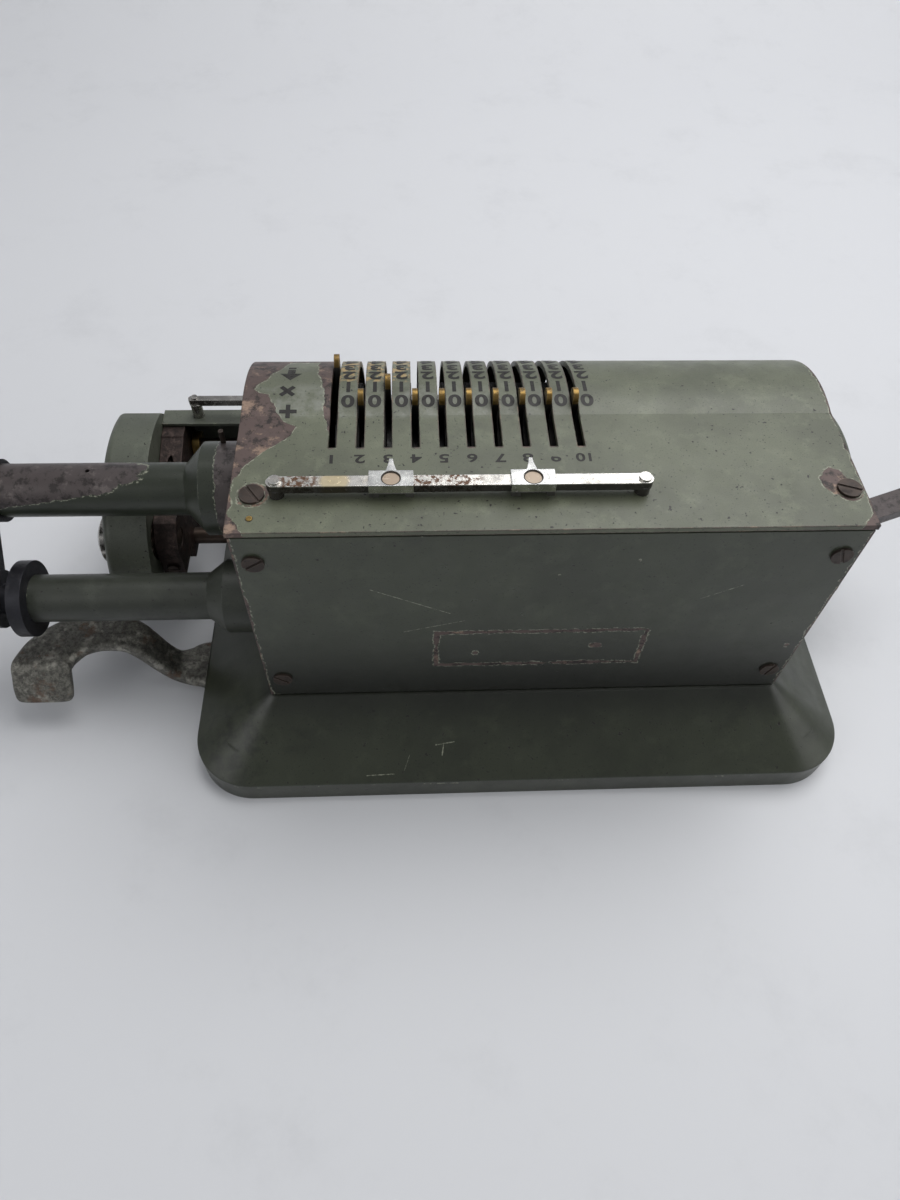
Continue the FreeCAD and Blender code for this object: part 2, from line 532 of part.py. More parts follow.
def build_crank():
    hub_end = "arm_start + crank_hub_length"
    arm_end = "arm_start + arm_thickness"
    hub = rod("tube_end + crank_gap", hub_end, "drum_y", "drum_z", "crank_hub_radius")
    end = rod("arm_start - crank_step", arm_end, "post_y", "post_z", "crank_end_radius")
    run_y, run_z = number("post_y - drum_y"), number("post_z - drum_z")
    length = math.hypot(run_y, run_z)
    side = (-run_z / length, run_y / length)

    def corner(centre, radius, sign):
        """A corner of the arm beside a centre, square to the line that joins the two ends."""
        return ("%s_y + %f * %s" % (centre, sign * side[0], radius),
                "%s_z + %f * %s" % (centre, sign * side[1], radius))

    web = plate_x([corner("drum", "crank_hub_radius", 0.8), corner("post", "crank_end_radius", 0.95),
                   corner("post", "crank_end_radius", -0.95), corner("drum", "crank_hub_radius", -0.8)],
                  "arm_start", arm_end)
    boss_start = "post_end + disc_plate_thickness + crank_gap"
    boss = rod(boss_start, "arm_start + 1", "post_y", "post_z", "crank_boss_radius")
    shaft_bore = rod("tube_end", hub_end + " + 1", "drum_y", "drum_z", "shaft_radius + fit")
    pin_bore = rod(boss_start + " - 1", arm_end + " + 1", "post_y", "post_z", "lock_pin_radius + running_fit")
    node(cut(fuse(hub, end, web, boss), shaft_bore, pin_bore), "crank_arm")
    dome = doc.addObject("Part::Sphere", "dome")
    bind(dome, Radius="nut_radius")
    put(dome, "%s + nut_height - nut_radius" % hub_end, "drum_y", "drum_z")
    keep = block(hub_end, hub_end + " + nut_height + 1", "drum_y - nut_radius - 1", "drum_y + nut_radius + 1",
                 "drum_z - nut_radius - 1", "drum_z + nut_radius + 1")
    node(common(dome, keep), "crank_nut")
    grip_end = "grip_start + grip_length"
    head_start = grip_end + " + grip_play"
    spindle = rod("post_end + disc_plate_thickness + crank_gap", head_start + " + 0.5", "post_y", "post_z",
                  "lock_pin_radius")
    head = rod(head_start, head_start + " + pin_head", "post_y", "post_z", "pin_head_radius")
    node(fuse(spindle, head), "crank_locking_pin")
    build_grip(grip_end)


def build_grip(grip_end):
    """The turned handle: a barrel with a narrower neck at the arm."""
    third = "(grip_start + grip_length / 3)"
    near_end = "(%s - grip_length / 8)" % grip_end
    body = fuse(taper("grip_start", third, "post_y", "post_z", "grip_neck", "grip_radius"),
                rod(third, near_end, "post_y", "post_z", "grip_radius"),
                taper(near_end, grip_end, "post_y", "post_z", "grip_radius", "grip_neck"))
    bore = rod("grip_start - 1", grip_end + " + 1", "post_y", "post_z", "lock_pin_radius + running_fit")
    node(cut(body, bore), "crank_grip")


def build_idlers():
    inset = "(case_width / 2 - frame_inset - 0.5)"
    node(group([rod("-" + inset, inset, "idler_y", "idler_z", "idler_shaft"),
                rod("-" + inset, inset, "carry_y", "carry_z", "carry_radius")]), "cross_rods")
    gears = []
    for i in range(int(number("idler_count"))):
        x0 = number("first_slot - dial_offset - %d * slot_pitch - idler_width / 2" % i)
        gears.append(gear_shape(int(number("idler_teeth")), number("idler_radius"), number("idler_root"), x0,
                                number("idler_width"), number("idler_y"), number("idler_z"),
                                number("idler_shaft + running_fit")))
    shape_node(Part.makeCompound(gears), "idler_gears")
    levers = []
    for i in range(int(number("carry_count"))):
        x0 = "first_slot - dial_offset - (%d + 0.5) * slot_pitch - carry_width / 2" % i
        x1 = x0 + " + carry_width"
        blade = fuse(rod(x0, x1, "carry_y", "carry_z", "carry_hub"),
                     block(x0, x1, "carry_y - carry_radius", "carry_y + carry_radius", "carry_z",
                           "carry_z + carry_reach"))
        levers.append(cut(blade, rod(x0 + " - 1", x1 + " + 1", "carry_y", "carry_z",
                                     "carry_radius + running_fit")))
    node(group(levers), "carry_levers")


def build_marker_bar(right, left, y, bottom, foot, width, label):
    """A flat decimal-point bar on two posts."""
    top = "%s + bar_thickness" % bottom
    half = width + " / 2"
    parts = [block(left + " + " + half, right + " - " + half, "%s - %s" % (y, half), "%s + %s" % (y, half),
                   bottom, top)]
    for end, inward in ((right, "- bar_end"), (left, "+ bar_end")):
        inside = "- " if end == right else "+ "
        parts.append(post("%s %s%s" % (end, inside, half), y, bottom, top, half))
        stem = "%s %s" % (end, inward)
        parts.append(post(stem, y, foot, bottom + " + 0.5", "bar_post_radius"))
        parts.append(post(stem, y, top, top + " + rivet_height", half + " * 0.9"))
    node(fuse(*parts), label)


def build_marker(x, y, bottom, width, label):
    """A saddle that slides on a decimal-point bar, with a round recess on top and a pointer in front."""
    half = "slider_width / 2"
    deep = "(%s / 2 + running_fit + slider_wall)" % width
    low = "%s - slider_wall - running_fit" % bottom
    high = "%s + bar_thickness + slider_wall + running_fit" % bottom
    shell = block("%s - %s" % (x, half), "%s + %s" % (x, half), "%s - %s" % (y, deep), "%s + %s" % (y, deep),
                  low, high)
    bore = block("%s - slider_width" % x, "%s + slider_width" % x, "%s - %s / 2 - running_fit" % (y, width),
                 "%s + %s / 2 + running_fit" % (y, width), "%s - running_fit" % bottom,
                 "%s + bar_thickness + running_fit" % bottom)
    recess = post(x, y, high + " - recess_depth", high + " + 1", "min(recess_radius; %s - 0.4)" % deep)
    notch = block("%s - slider_width * 0.32" % x, "%s + slider_width * 0.28" % x,
                  "%s + %s / 2 - 0.5" % (y, width), "%s + %s + 1" % (y, deep), low + " - 1",
                  low + " + notch_height")
    points = []
    for side in (-1, 1):
        flank = [("%s + %f * pointer_width" % (x, side * share),
                  "%s - %s + %f * pointer_length" % (y, deep, back)) for share, back in
                 ((0.5, 0.1), (0.31, -0.3), (0.19, -0.65), (0.12, -1.0))]
        points += flank if side < 0 else flank[::-1]
    pointer = plate_z(points, high + " - 2 * slider_wall", high + " - slider_wall")
    node(fuse(cut(shell, bore, recess, notch), pointer), label)


def cap_faces(side):
    """The outer and inner faces of a carriage cap, as x."""
    if side > 0:
        return "carriage_right", "(carriage_right - cap_width_right)"
    return "carriage_left", "(carriage_left + cap_width_left)"


def build_cap(side, label):
    """A thick rounded end casting of the carriage."""
    outer, inner = cap_faces(side)
    x0, x1 = (inner, outer) if side > 0 else (outer, inner)
    front, top, rear = "front_y - cap_lip", "(cap_z + cap_radius + 1)", "cap_y + cap_radius + 1"
    slope = "(cap_z - cap_y + cap_flat * sqrt(2))"
    limit = plate_x([(front, "cap_bottom"), (front, front + " + " + slope), (top + " - " + slope, top),
                     (rear, top), (rear, "cap_bottom")], x0, x1)
    body = common(rod(x0, x1, "cap_y", "cap_z", "cap_radius"), limit)
    face = number(outer)

    def on_outer_face(edge):
        box = edge.BoundBox
        return abs(box.XMin - face) < 0.01 and abs(box.XMax - face) < 0.01

    soft = rounded(body, "cap_round", on_outer_face)
    holes = [rod(inner + " - 1" if side > 0 else inner + " - 4", inner + " + 4" if side > 0 else inner + " + 1",
                 y, z, radius)
             for y, z, radius in (("slide_y", "slide_z", "slide_radius + fit"),
                                  ("dial_y", "dial_z", "dial_shaft + fit"))]
    holes.append(rod(x0 + " - 1", x1 + " + 1", "clear_y", "clear_z", "clear_shaft + running_fit"))
    depth = "(clear_gear_width + 2 * clear_gap)"
    pocket = (inner + " - 1", inner + " + " + depth) if side > 0 else (inner + " - " + depth, inner + " + 1")
    holes.append(rod(*pocket, "clear_y", "clear_z", "clear_gear + 0.5"))
    node(cut(soft, *holes), label)


def build_end_frame(side, label):
    """The iron plate inside a carriage cap that holds the dial shaft and grips the slide rod."""
    inner = cap_faces(side)[1]
    if side > 0:
        x0, x1 = inner + " - 0.3 - end_frame_right", inner + " - 0.3"
    else:
        x0, x1 = inner + " + 0.3", inner + " + 0.3 + end_frame_left"
    top = "ridge_height - sheet - 0.3"
    rear = "slide_y + 6.5"
    plate = plate_x([("ridge_front - 2", "dial_z - 9"), ("ridge_front - 2", top + " - 2"),
                     ("ridge_front", top), ("ridge_rear + 5.4", top), (rear, "slide_z + 7"), (rear, "slide_z - 6"),
                     ("slide_y - 8", "slide_z - 6")], x0, x1)
    middle = "(%s + %s) / 2" % (x0, x1)
    holes = [rod(x0 + " - 1", x1 + " + 1", "slide_y", "slide_z", "slide_radius + fit"),
             rod(x0 + " - 1", x1 + " + 1", "dial_y", "dial_z", "dial_shaft + fit"),
             stud(middle, rear + " - 8", rear + " + 1", "slide_z", "1.2")]
    if side > 0:
        cheek = plate_x([("ridge_rear + 4", top), ("slide_y - 3", "clear_z + 13"),
                         ("clear_y", "clear_z + 8"), ("clear_y + 6", "clear_z"),
                         ("clear_y + 6", "slide_z + 2"), (rear + " - 1", "slide_z + 2")], x0, x1)
        plate = fuse(plate, cheek)
        holes[2] = stud(middle, rear + " - 8", "clear_y + 7", "slide_z + 6", "1.2")
        holes.append(stud(middle, "ridge_rear", "slide_y", "slide_z + 32", "1.3"))
        holes.append(rod(x0 + " - 1", x1 + " + 1", "clear_y", "clear_z", "clear_shaft + running_fit"))
    node(cut(plate, *holes), label)
    face, height = ("clear_y + 6", "slide_z + 6") if side > 0 else (rear, "slide_z")
    screw = fuse(stud(middle, face, face + " + 1.2", height, "2.3"),
                 stud(middle, face + " - 2.3", face + " + 0.5", height, "1.15"))
    slot = block("%s - 3" % middle, "%s + 3" % middle, face + " + 0.6", face + " + 2", height + " - 0.3",
                 height + " + 0.3")
    return cut(screw, slot)


def dial_x(index, counter):
    """The middle of a dial's gear; the counter stands a gap to the left of the result register."""
    shift = "(result_count - 1 + register_gap)" if counter else "0"
    return "first_slot - dial_offset + carriage_steps * slot_pitch - (%d + %s) * slot_pitch" % (index, shift)


def build_dials(counter, label):
    """Number dials, each a drum with a ten-tooth gear on its right."""
    dials = []
    radius, width, gear = number("dial_radius"), number("dial_width"), number("dial_gear")
    y, z, bore = number("dial_y"), number("dial_z"), number("dial_shaft + running_fit")
    for i in range(int(number("counter_count" if counter else "result_count"))):
        x = number(dial_x(i, counter))
        wheel = gear_shape(int(number("dial_teeth")), radius, number("dial_root"), x - gear / 2, gear,
                           y, z, bore)
        start = Vector(x + gear / 2, y, z)
        drum = Part.makeCylinder(radius, width, start, Vector(1, 0, 0))
        drum = drum.cut(Part.makeCylinder(bore, width + 2, start - Vector(1, 0, 0), Vector(1, 0, 0)))
        dials.append(wheel.fuse(drum).removeSplitter())
    shape_node(Part.makeCompound(dials), label)


def window_cutters():
    """Boxes that lie square to the sloping face, one over each number drum."""
    cutters = []
    reach = number("ridge_front - dial_y - (ridge_height - dial_z)") / -math.sqrt(2)
    normal = Vector(0, -1, 1) / math.sqrt(2)
    along = Vector(0, 1, 1) / math.sqrt(2)
    for counter in (False, True):
        for i in range(int(number("counter_count" if counter else "result_count"))):
            middle = number(dial_x(i, counter) + " + (dial_gear + dial_width) / 2")
            wide, high = number("window_width"), number("window_height")
            box = Part.makeBox(wide, high, 8)
            box.Placement = Placement(Vector(middle - wide / 2, number("dial_y"), number("dial_z"))
                                      + normal * (reach - 4) - along * (high / 2),
                                      Rotation(Vector(1, 0, 0), 45))
            cutters.append(box)
    return cutters


def build_carriage():
    build_cap(1, "carriage_cap_right")
    build_cap(-1, "carriage_cap_left")
    node(group([build_end_frame(1, "carriage_end_frame_right"),
                build_end_frame(-1, "carriage_end_frame_left")]), "rod_clamp_screws")
    x0, x1 = cap_faces(-1)[1], cap_faces(1)[1]
    slope = "(ridge_front - front_y)"
    inner_drop = "sheet * 1.41"
    sheet_outline = [("ridge_rear", "ridge_height"), ("ridge_front", "ridge_height"),
                     ("front_y", "ridge_height - " + slope), ("front_y", "carriage_bottom"),
                     ("front_y + sheet", "carriage_bottom"),
                     ("front_y + sheet", "ridge_height - %s + sheet - %s" % (slope, inner_drop)),
                     ("ridge_front - sheet + " + inner_drop, "ridge_height - sheet"),
                     ("ridge_rear", "ridge_height - sheet")]
    cover = plate_x(sheet_outline, x0, x1)
    windows = doc.addObject("Part::Feature", "windows")
    windows.Shape = Part.makeCompound(window_cutters())
    latch_gap = block("-latch_width / 2 - 1", "latch_width / 2 + 1", "front_y - 1", "front_y + sheet + 1",
                      "carriage_bottom - 1", "latch_z + 4.5")
    node(cut(cover, windows, latch_gap), "carriage_cover")
    brackets = []
    for sign in ("", "-"):
        near = "(latch_width / 2 + 0.3)"
        far = "(latch_width / 2 + 0.3 + latch_post)"
        first, last = (near, far) if sign == "" else ("-" + far, "-" + near)
        brackets.append(block(first, last, "latch_y - 3", "latch_y + 3", "carriage_bottom - 1", "latch_z + 3"))
    runner = fuse(block(x0, x1, "runner_front", "runner_rear", "runner_bottom", "carriage_bottom"), *brackets)
    pin_bore = rod("-latch_width", "latch_width", "latch_y", "latch_z", "latch_pin + fit")
    node(cut(runner, pin_bore), "carriage_runner")
    tie = "latch_width / 2 + 0.3 + latch_post"
    node(rod("-(%s)" % tie, tie, "latch_y", "latch_z", "latch_pin"), "latch_pivot_pin")
    node(rod(x0 + " - 3", x1 + " + 3", "slide_y", "slide_z", "slide_radius"), "carriage_slide_rod")
    node(rod(x0 + " - 3", x1 + " + 3", "dial_y", "dial_z", "dial_shaft"), "dial_shaft_rod")
    collars = []
    for start in (x1 + " - 0.6 - end_frame_right - collar_width", x0 + " + 0.6 + end_frame_left"):
        ring = rod(start, start + " + collar_width", "dial_y", "dial_z", "collar_radius")
        collars.append(cut(ring, rod(start + " - 1", start + " + collar_width + 1", "dial_y", "dial_z",
                                     "dial_shaft + fit")))
    node(group(collars), "dial_shaft_collars")
    build_dials(False, "result_dials")
    build_dials(True, "counter_dials")
    hub = rod("-latch_width / 2", "latch_width / 2", "latch_y", "latch_z", "latch_hub")
    blade = block("-latch_width / 2", "latch_width / 2", "latch_front", "latch_y",
                  "latch_z - latch_thickness / 2", "latch_z + latch_thickness / 2")
    edge = rod("-latch_width / 2", "latch_width / 2", "latch_front", "latch_z", "latch_thickness * 0.8")
    node(cut(fuse(hub, blade, edge), rod("-latch_width", "latch_width", "latch_y", "latch_z",
                                         "latch_pin + running_fit")), "carriage_latch")
    rail = block("-rail_half", "rail_half", "rail_front", "rail_rear", "deck_height", "rail_top")
    node(rail, "carriage_rail")


def build_clearing(side, label):
    """The lever on a carriage cap that turns one register's dials back to zero, with its shaft."""
    outer, inner = cap_faces(side)
    sign, back = ("+", "-") if side > 0 else ("-", "+")

    def span(near, far):
        """Two distances outwards from the cap's face, as x from low to high."""
        texts = ["%s %s (%s)" % (outer, sign, d) for d in (near, far)]
        return texts if side > 0 else texts[::-1]

    plate = span("clear_gap", "clear_gap + clear_plate")
    round_radius = "((clear_hub ^ 2 + clear_dome ^ 2) / (2 * clear_dome))"
    ball = bind(doc.addObject("Part::Sphere", "ball"), Radius=round_radius)
    put(ball, "%s %s (clear_gap + clear_crown - %s)" % (outer, sign, round_radius), "clear_y", "clear_z")
    dome = common(ball, rod(*span("clear_gap", "clear_gap + clear_crown"), "clear_y", "clear_z", "clear_hub"))
    if side > 0:
        end = rod(*plate, "clear_arm_y", "clear_arm_z", "clear_end")
        web = plate_x([("clear_y", "clear_z + clear_end"), ("clear_arm_y", "clear_arm_z + clear_end"),
                       ("clear_arm_y", "clear_arm_z - clear_end"), ("clear_y", "clear_z - clear_end")], *plate)
        tab = rod(*span("clear_gap", "clear_gap + clear_tab"), "clear_arm_y", "clear_arm_z", "clear_end - 0.8")
        handle = [end, web, tab]
    else:
        root, reach = outer + " - clear_gap - 0.5", outer + " - clear_gap - finger_reach"
        half = "finger_width / 2"
        far = "(finger_y - finger_sweep)"
        handle = [plate_z([(root, "finger_y + " + half), (root, "finger_y - " + half),
                           (reach + " + 2", "%s - %s" % (far, half)), (reach, "%s - %s + 2" % (far, half)),
                           (reach, "%s + %s - 2" % (far, half)), (reach + " + 2", "%s + %s" % (far, half))],
                          "finger_z - finger_thickness / 2", "finger_z + finger_thickness / 2")]
    node(fuse(dome, *handle), label + "_lever")
    journal = "end_frame_right" if side > 0 else "0"
    ends = ("%s %s (%s)" % (inner, back, journal), "%s %s clear_gap" % (outer, sign))
    shaft = rod(*(ends if side > 0 else ends[::-1]), "clear_y", "clear_z", "clear_shaft")
    gear_x = number("%s + clear_gap" % inner if side > 0 else "%s - clear_gap - clear_gear_width" % inner)
    wheel = doc.addObject("Part::Feature", "clearing_gear")
    wheel.Shape = gear_shape(int(number("clear_gear_teeth")), number("clear_gear"), number("clear_gear_root"),
                             gear_x, number("clear_gear_width"), number("clear_y"), number("clear_z"), 0)
    node(fuse(shaft, wheel), label + "_shaft")


def build_register_clear_lever():
    """The cast lever low on the right: out of the base, up over an arch, and down to a finger pad."""
    hub = post("pivot_x", "pivot_y", "lever_low", "lever_low + lever_bar", "lever_hub")
    plan = plate_z([("pivot_x", "pivot_y - lever_hub"), ("pivot_x + 17", "11.5"), ("pivot_x + 27", "16"),
                    ("pivot_x + 33", "17"), ("pivot_x + 40", "15"), ("pivot_x + 51", "10.5"),
                    ("pivot_x + 64", "10"), ("pad_right - 16", "13"), ("pad_right - 7", "20"),
                    ("pad_right", "pad_front"), ("pad_right", "pad_ridge"), ("pad_left", "pad_ridge"),
                    ("pad_left", "pad_front"), ("pad_left - 2.5", "29"), ("pad_left - 7.5", "25.5"),
                    ("pad_left - 19", "26"), ("pivot_x + 36", "28.6"), ("pivot_x + 29", "30"),
                    ("pivot_x + 17", "32.5"), ("pivot_x", "pivot_y + lever_hub")], "0", "lever_high + 1")
    profile = plate_y([("pivot_x", "lever_low"), ("pivot_x + 28.5", "lever_low"),
                       ("pivot_x + 33", "lever_low + 3"), ("pivot_x + 42", "lever_high - lever_bar - 3"),
                       ("pivot_x + 47", "lever_high - lever_bar"),
                       ("pad_right", "lever_high - lever_bar"), ("pad_right", "lever_high"),
                       ("pivot_x + 43", "lever_high"), ("pivot_x + 38", "lever_high - 3"),
                       ("pivot_x + 28", "lever_low + lever_bar + 1.5"),
                       ("pivot_x + 25", "lever_low + lever_bar"), ("pivot_x", "lever_low + lever_bar")],
                      "pivot_y - 20", "pivot_y + 20")
    pad = plate_x([("pad_front", "lever_high"), ("pad_front", "lever_high - lever_bar"),
                   ("pad_rear - 3.6", "pad_bottom"), ("pad_rear", "pad_bottom + 2.6"),
                   ("pad_ridge", "lever_high")], "pad_left", "pad_right")
    body = fuse(hub, common(plan, profile), pad)
    doc.recompute()
    end = number("pad_bottom + 2.6")

    def pad_corner(edge):
        """The two short edges at the pad's lower corners."""
        box = edge.BoundBox
        return box.XLength < 0.01 and box.XMin > number("pad_left") - 0.01 and box.ZMax < end + 0.01

    ridge = rounded(body, "pad_round", pad_corner)
    bore = post("pivot_x", "pivot_y", "0", "lever_high", "pivot_radius + running_fit")
    node(cut(ridge, bore), "register_clear_lever")
    screw = fuse(post("pivot_x", "pivot_y", "rim_bottom + 0.6", "lever_low - 0.2", "pivot_head"),
                 post("pivot_x", "pivot_y", "rim_bottom + 1", "cavity_top - 0.5", "pivot_radius"))
    node(screw, "clear_lever_pivot")


def build_all():
    build_base()
    build_side_frame(1, "right_side_frame")
    build_side_frame(-1, "left_side_frame")
    build_case()
    build_crank_bearings()
    build_drum()
    for index, value in enumerate(LEVER_VALUES):
        build_setting_lever(index, value)
    build_crank()
    build_idlers()
    cover_bar_z = "flat_height + bar_lift"
    build_marker_bar("bar_right", "bar_left", "bar_y", cover_bar_z, "flat_height", "bar_width",
                     "decimal_bar")
    for i in (1, 2):
        build_marker("slider_%d_x" % i, "bar_y", cover_bar_z, "bar_width", "decimal_marker_%d" % i)
    build_carriage()
    build_marker_bar("carriage_bar_right", "carriage_bar_left", "carriage_bar_y", "carriage_bar_z",
                     "ridge_height", "carriage_bar_width", "carriage_decimal_bar")
    for i in (1, 2):
        build_marker("carriage_slider_%d_x" % i, "carriage_bar_y", "carriage_bar_z", "carriage_bar_width",
                     "carriage_marker_%d" % i)
    build_clearing(1, "result_clearing")
    build_clearing(-1, "counter_clearing")
    build_register_clear_lever()


def check_and_write():
    """Stop if anything failed to build, then write each sub-part to its file."""
    failed = [item.Name for item in doc.Objects if "Invalid" in item.State or "Error" in item.State]
    if failed:
        raise RuntimeError("failed objects: " + ", ".join(failed))
    for item in NODES:
        if item.Shape.isNull() or not item.Shape.isValid() or not item.Shape.Solids:
            raise RuntimeError("bad shape: " + item.Label)
    os.makedirs("parts", exist_ok=True)
    for item in NODES:
        item.Shape.exportStep("parts/%s.step" % item.Label)
        print("%-28s %3d solids %10.1f mm3" % (item.Label, len(item.Shape.Solids), item.Shape.Volume))
    print(len(NODES), "nodes")


build_all()
doc.recompute()
check_and_write()
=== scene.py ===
"""Looks of the pinwheel calculator, built round its construction frame.

Lengths in the code are millimetres, in the frame of the construction.
"""
import json
import math

import bpy
import numpy as np
from mathutils import Matrix, Vector


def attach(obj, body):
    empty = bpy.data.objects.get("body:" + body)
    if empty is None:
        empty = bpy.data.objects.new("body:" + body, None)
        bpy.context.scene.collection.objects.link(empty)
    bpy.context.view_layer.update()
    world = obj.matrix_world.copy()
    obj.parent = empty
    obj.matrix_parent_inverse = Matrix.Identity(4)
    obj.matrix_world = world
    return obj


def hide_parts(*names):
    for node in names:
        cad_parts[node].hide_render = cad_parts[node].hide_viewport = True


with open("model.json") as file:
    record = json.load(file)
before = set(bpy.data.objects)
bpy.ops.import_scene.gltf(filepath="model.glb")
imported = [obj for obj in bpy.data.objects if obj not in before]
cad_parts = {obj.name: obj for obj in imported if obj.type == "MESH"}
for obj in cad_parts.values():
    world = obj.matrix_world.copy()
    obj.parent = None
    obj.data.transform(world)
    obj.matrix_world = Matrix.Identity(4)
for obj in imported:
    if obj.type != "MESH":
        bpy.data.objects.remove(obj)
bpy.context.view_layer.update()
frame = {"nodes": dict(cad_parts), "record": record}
MM = 0.001

# Places of the construction and of the marks on it
DRUM_Y, DRUM_Z, HUMP = -4.0, 82.3, 43.2
FLAT = 124.4
SLOT_1, PITCH = 64.5, 8.4
CASE_HALF = 93.1
CORNER_SUM = 141.2
COVER_SCREWS = ((86.5, 38.8), (-88.3, 38.8))
BAR_Y, MARKERS_X = 38.6, (46.6, 6.1)
LABEL_X, LABEL_Z, LABEL_WIDE, LABEL_HIGH = -1.7, 63.0, 70.0, 20.0
FIRST_FIGURE, FIGURE_STEP, FIGURE_ASIDE = 5.3, 8.8, 4.2
FIGURE_HEIGHT, SLOT_NUMBER_HEIGHT, SLOT_NUMBER_Y = 5.3, 3.6, 24.6


def linear(red, green, blue):
    """A colour seen on a screen, 0 to 255, as linear light."""
    parts = [c / 255 for c in (red, green, blue)]
    return tuple(c / 12.92 if c <= 0.04045 else ((c + 0.055) / 1.055) ** 2.4 for c in parts) + (1.0,)


class Finish:
    """A node material with short calls for its steps, measured in millimetres on the object."""

    def __init__(self, name):
        self.material = bpy.data.materials.new(name)
        self.material.use_nodes = True
        self.tree = self.material.node_tree
        self.tree.nodes.clear()
        self.shader = self.tree.nodes.new("ShaderNodeBsdfPrincipled")
        out = self.tree.nodes.new("ShaderNodeOutputMaterial")
        self.tree.links.new(self.shader.outputs[0], out.inputs[0])
        where = self.tree.nodes.new("ShaderNodeTexCoord")
        self.place = self.vector("SCALE", where.outputs["Object"], scale=1000.0)
        apart = self.tree.nodes.new("ShaderNodeSeparateXYZ")
        self.tree.links.new(self.place, apart.inputs[0])
        self.x, self.y, self.z = apart.outputs

    def feed(self, value, socket):
        if isinstance(value, bpy.types.NodeSocket):
            self.tree.links.new(value, socket)
        elif value is not None:
            socket.default_value = value

    def vector(self, operation, a, b=None, scale=None):
        step = self.tree.nodes.new("ShaderNodeVectorMath")
        step.operation = operation
        self.feed(a, step.inputs[0])
        self.feed(b, step.inputs[1])
        if scale is not None:
            self.feed(scale, step.inputs["Scale"])
        return step.outputs[0]

    def sum(self, operation, a, b=None, c=None, clamp=False):
        step = self.tree.nodes.new("ShaderNodeMath")
        step.operation, step.use_clamp = operation, clamp
        for value, socket in zip((a, b, c), step.inputs):
            self.feed(value, socket)
        return step.outputs[0]

    def band(self, value, low, high, to_low=0.0, to_high=1.0):
        """A smooth step from to_low, where value is low, to to_high, where it is high."""
        step = self.tree.nodes.new("ShaderNodeMapRange")
        step.interpolation_type = "SMOOTHSTEP"
        for name, number in (("Value", value), ("From Min", low), ("From Max", high),
                             ("To Min", to_low), ("To Max", to_high)):
            self.feed(number, step.inputs[name])
        return step.outputs[0]

    def cloud(self, size, detail=2.0, rough=0.5, stretch=(1, 1, 1), shift=0.0):
        """Soft noise, 0 to 1, with blotches about size millimetres across."""
        step = self.tree.nodes.new("ShaderNodeTexNoise")
        place = self.vector("MULTIPLY_ADD", self.place, tuple(s / size for s in stretch))
        place.node.inputs[2].default_value = (shift, shift * 1.7, shift * 0.6)
        self.feed(place, step.inputs["Vector"])
        step.inputs["Scale"].default_value = 1.0
        step.inputs["Detail"].default_value = detail
        step.inputs["Roughness"].default_value = rough
        return step.outputs["Fac"]

    def blend(self, share, a, b, way="MIX"):
        step = self.tree.nodes.new("ShaderNodeMix")
        step.data_type, step.blend_type = "RGBA", way
        for socket, value in ((step.inputs[0], share), (step.inputs[6], a), (step.inputs[7], b)):
            self.feed(value, socket)
        return step.outputs[2]

    def arris(self, radius=1.2):
        """How near an edge of the piece is, 0 on a flat and up to 1 on an edge."""
        soft = self.tree.nodes.new("ShaderNodeBevel")
        soft.samples = 6
        soft.inputs["Radius"].default_value = radius * MM
        plain = self.tree.nodes.new("ShaderNodeNewGeometry")
        dot = self.tree.nodes.new("ShaderNodeVectorMath")
        dot.operation = "DOT_PRODUCT"
        self.tree.links.new(soft.outputs[0], dot.inputs[0])
        self.tree.links.new(plain.outputs["Normal"], dot.inputs[1])
        return self.band(dot.outputs["Value"], 0.995, 0.8)

    def most(self, first, *others):
        """The largest of several values."""
        for other in others:
            first = self.sum("MAXIMUM", first, other)
        return first

    def least(self, first, *others):
        """The smallest of several values."""
        for other in others:
            first = self.sum("MINIMUM", first, other)
        return first

    def line(self, value, points):
        """The height of a drawn line over value; points lists (value, height) from one end to the other."""
        starts, heights = zip(*points)
        span, low, high = starts[-1] - starts[0], min(heights), max(heights)
        step = self.tree.nodes.new("ShaderNodeFloatCurve")
        drawn = step.mapping.curves[0]
        places = [((a - starts[0]) / span, (b - low) / (high - low)) for a, b in points]
        drawn.points[0].location, drawn.points[1].location = places[0], places[-1]
        for place in places[1:-1]:
            drawn.points.new(*place)
        for point in drawn.points:
            point.handle_type = "VECTOR"
        step.mapping.update()
        share = self.sum("MULTIPLY_ADD", value, 1 / span, -starts[0] / span, clamp=True)
        self.feed(share, step.inputs["Value"])
        return self.sum("MULTIPLY_ADD", step.outputs[0], high - low, low)

    def spot(self, u, v, centre, radius, squeeze=1.0):
        """How far inside a round spot a place is, in millimetres, from two of its coordinates."""
        across = self.sum("SUBTRACT", u, centre[0])
        along = self.sum("MULTIPLY", self.sum("SUBTRACT", v, centre[1]), squeeze)
        squares = self.sum("MULTIPLY_ADD", across, across, self.sum("MULTIPLY", along, along))
        away = self.sum("SQRT", squares)
        return self.sum("SUBTRACT", radius, away)

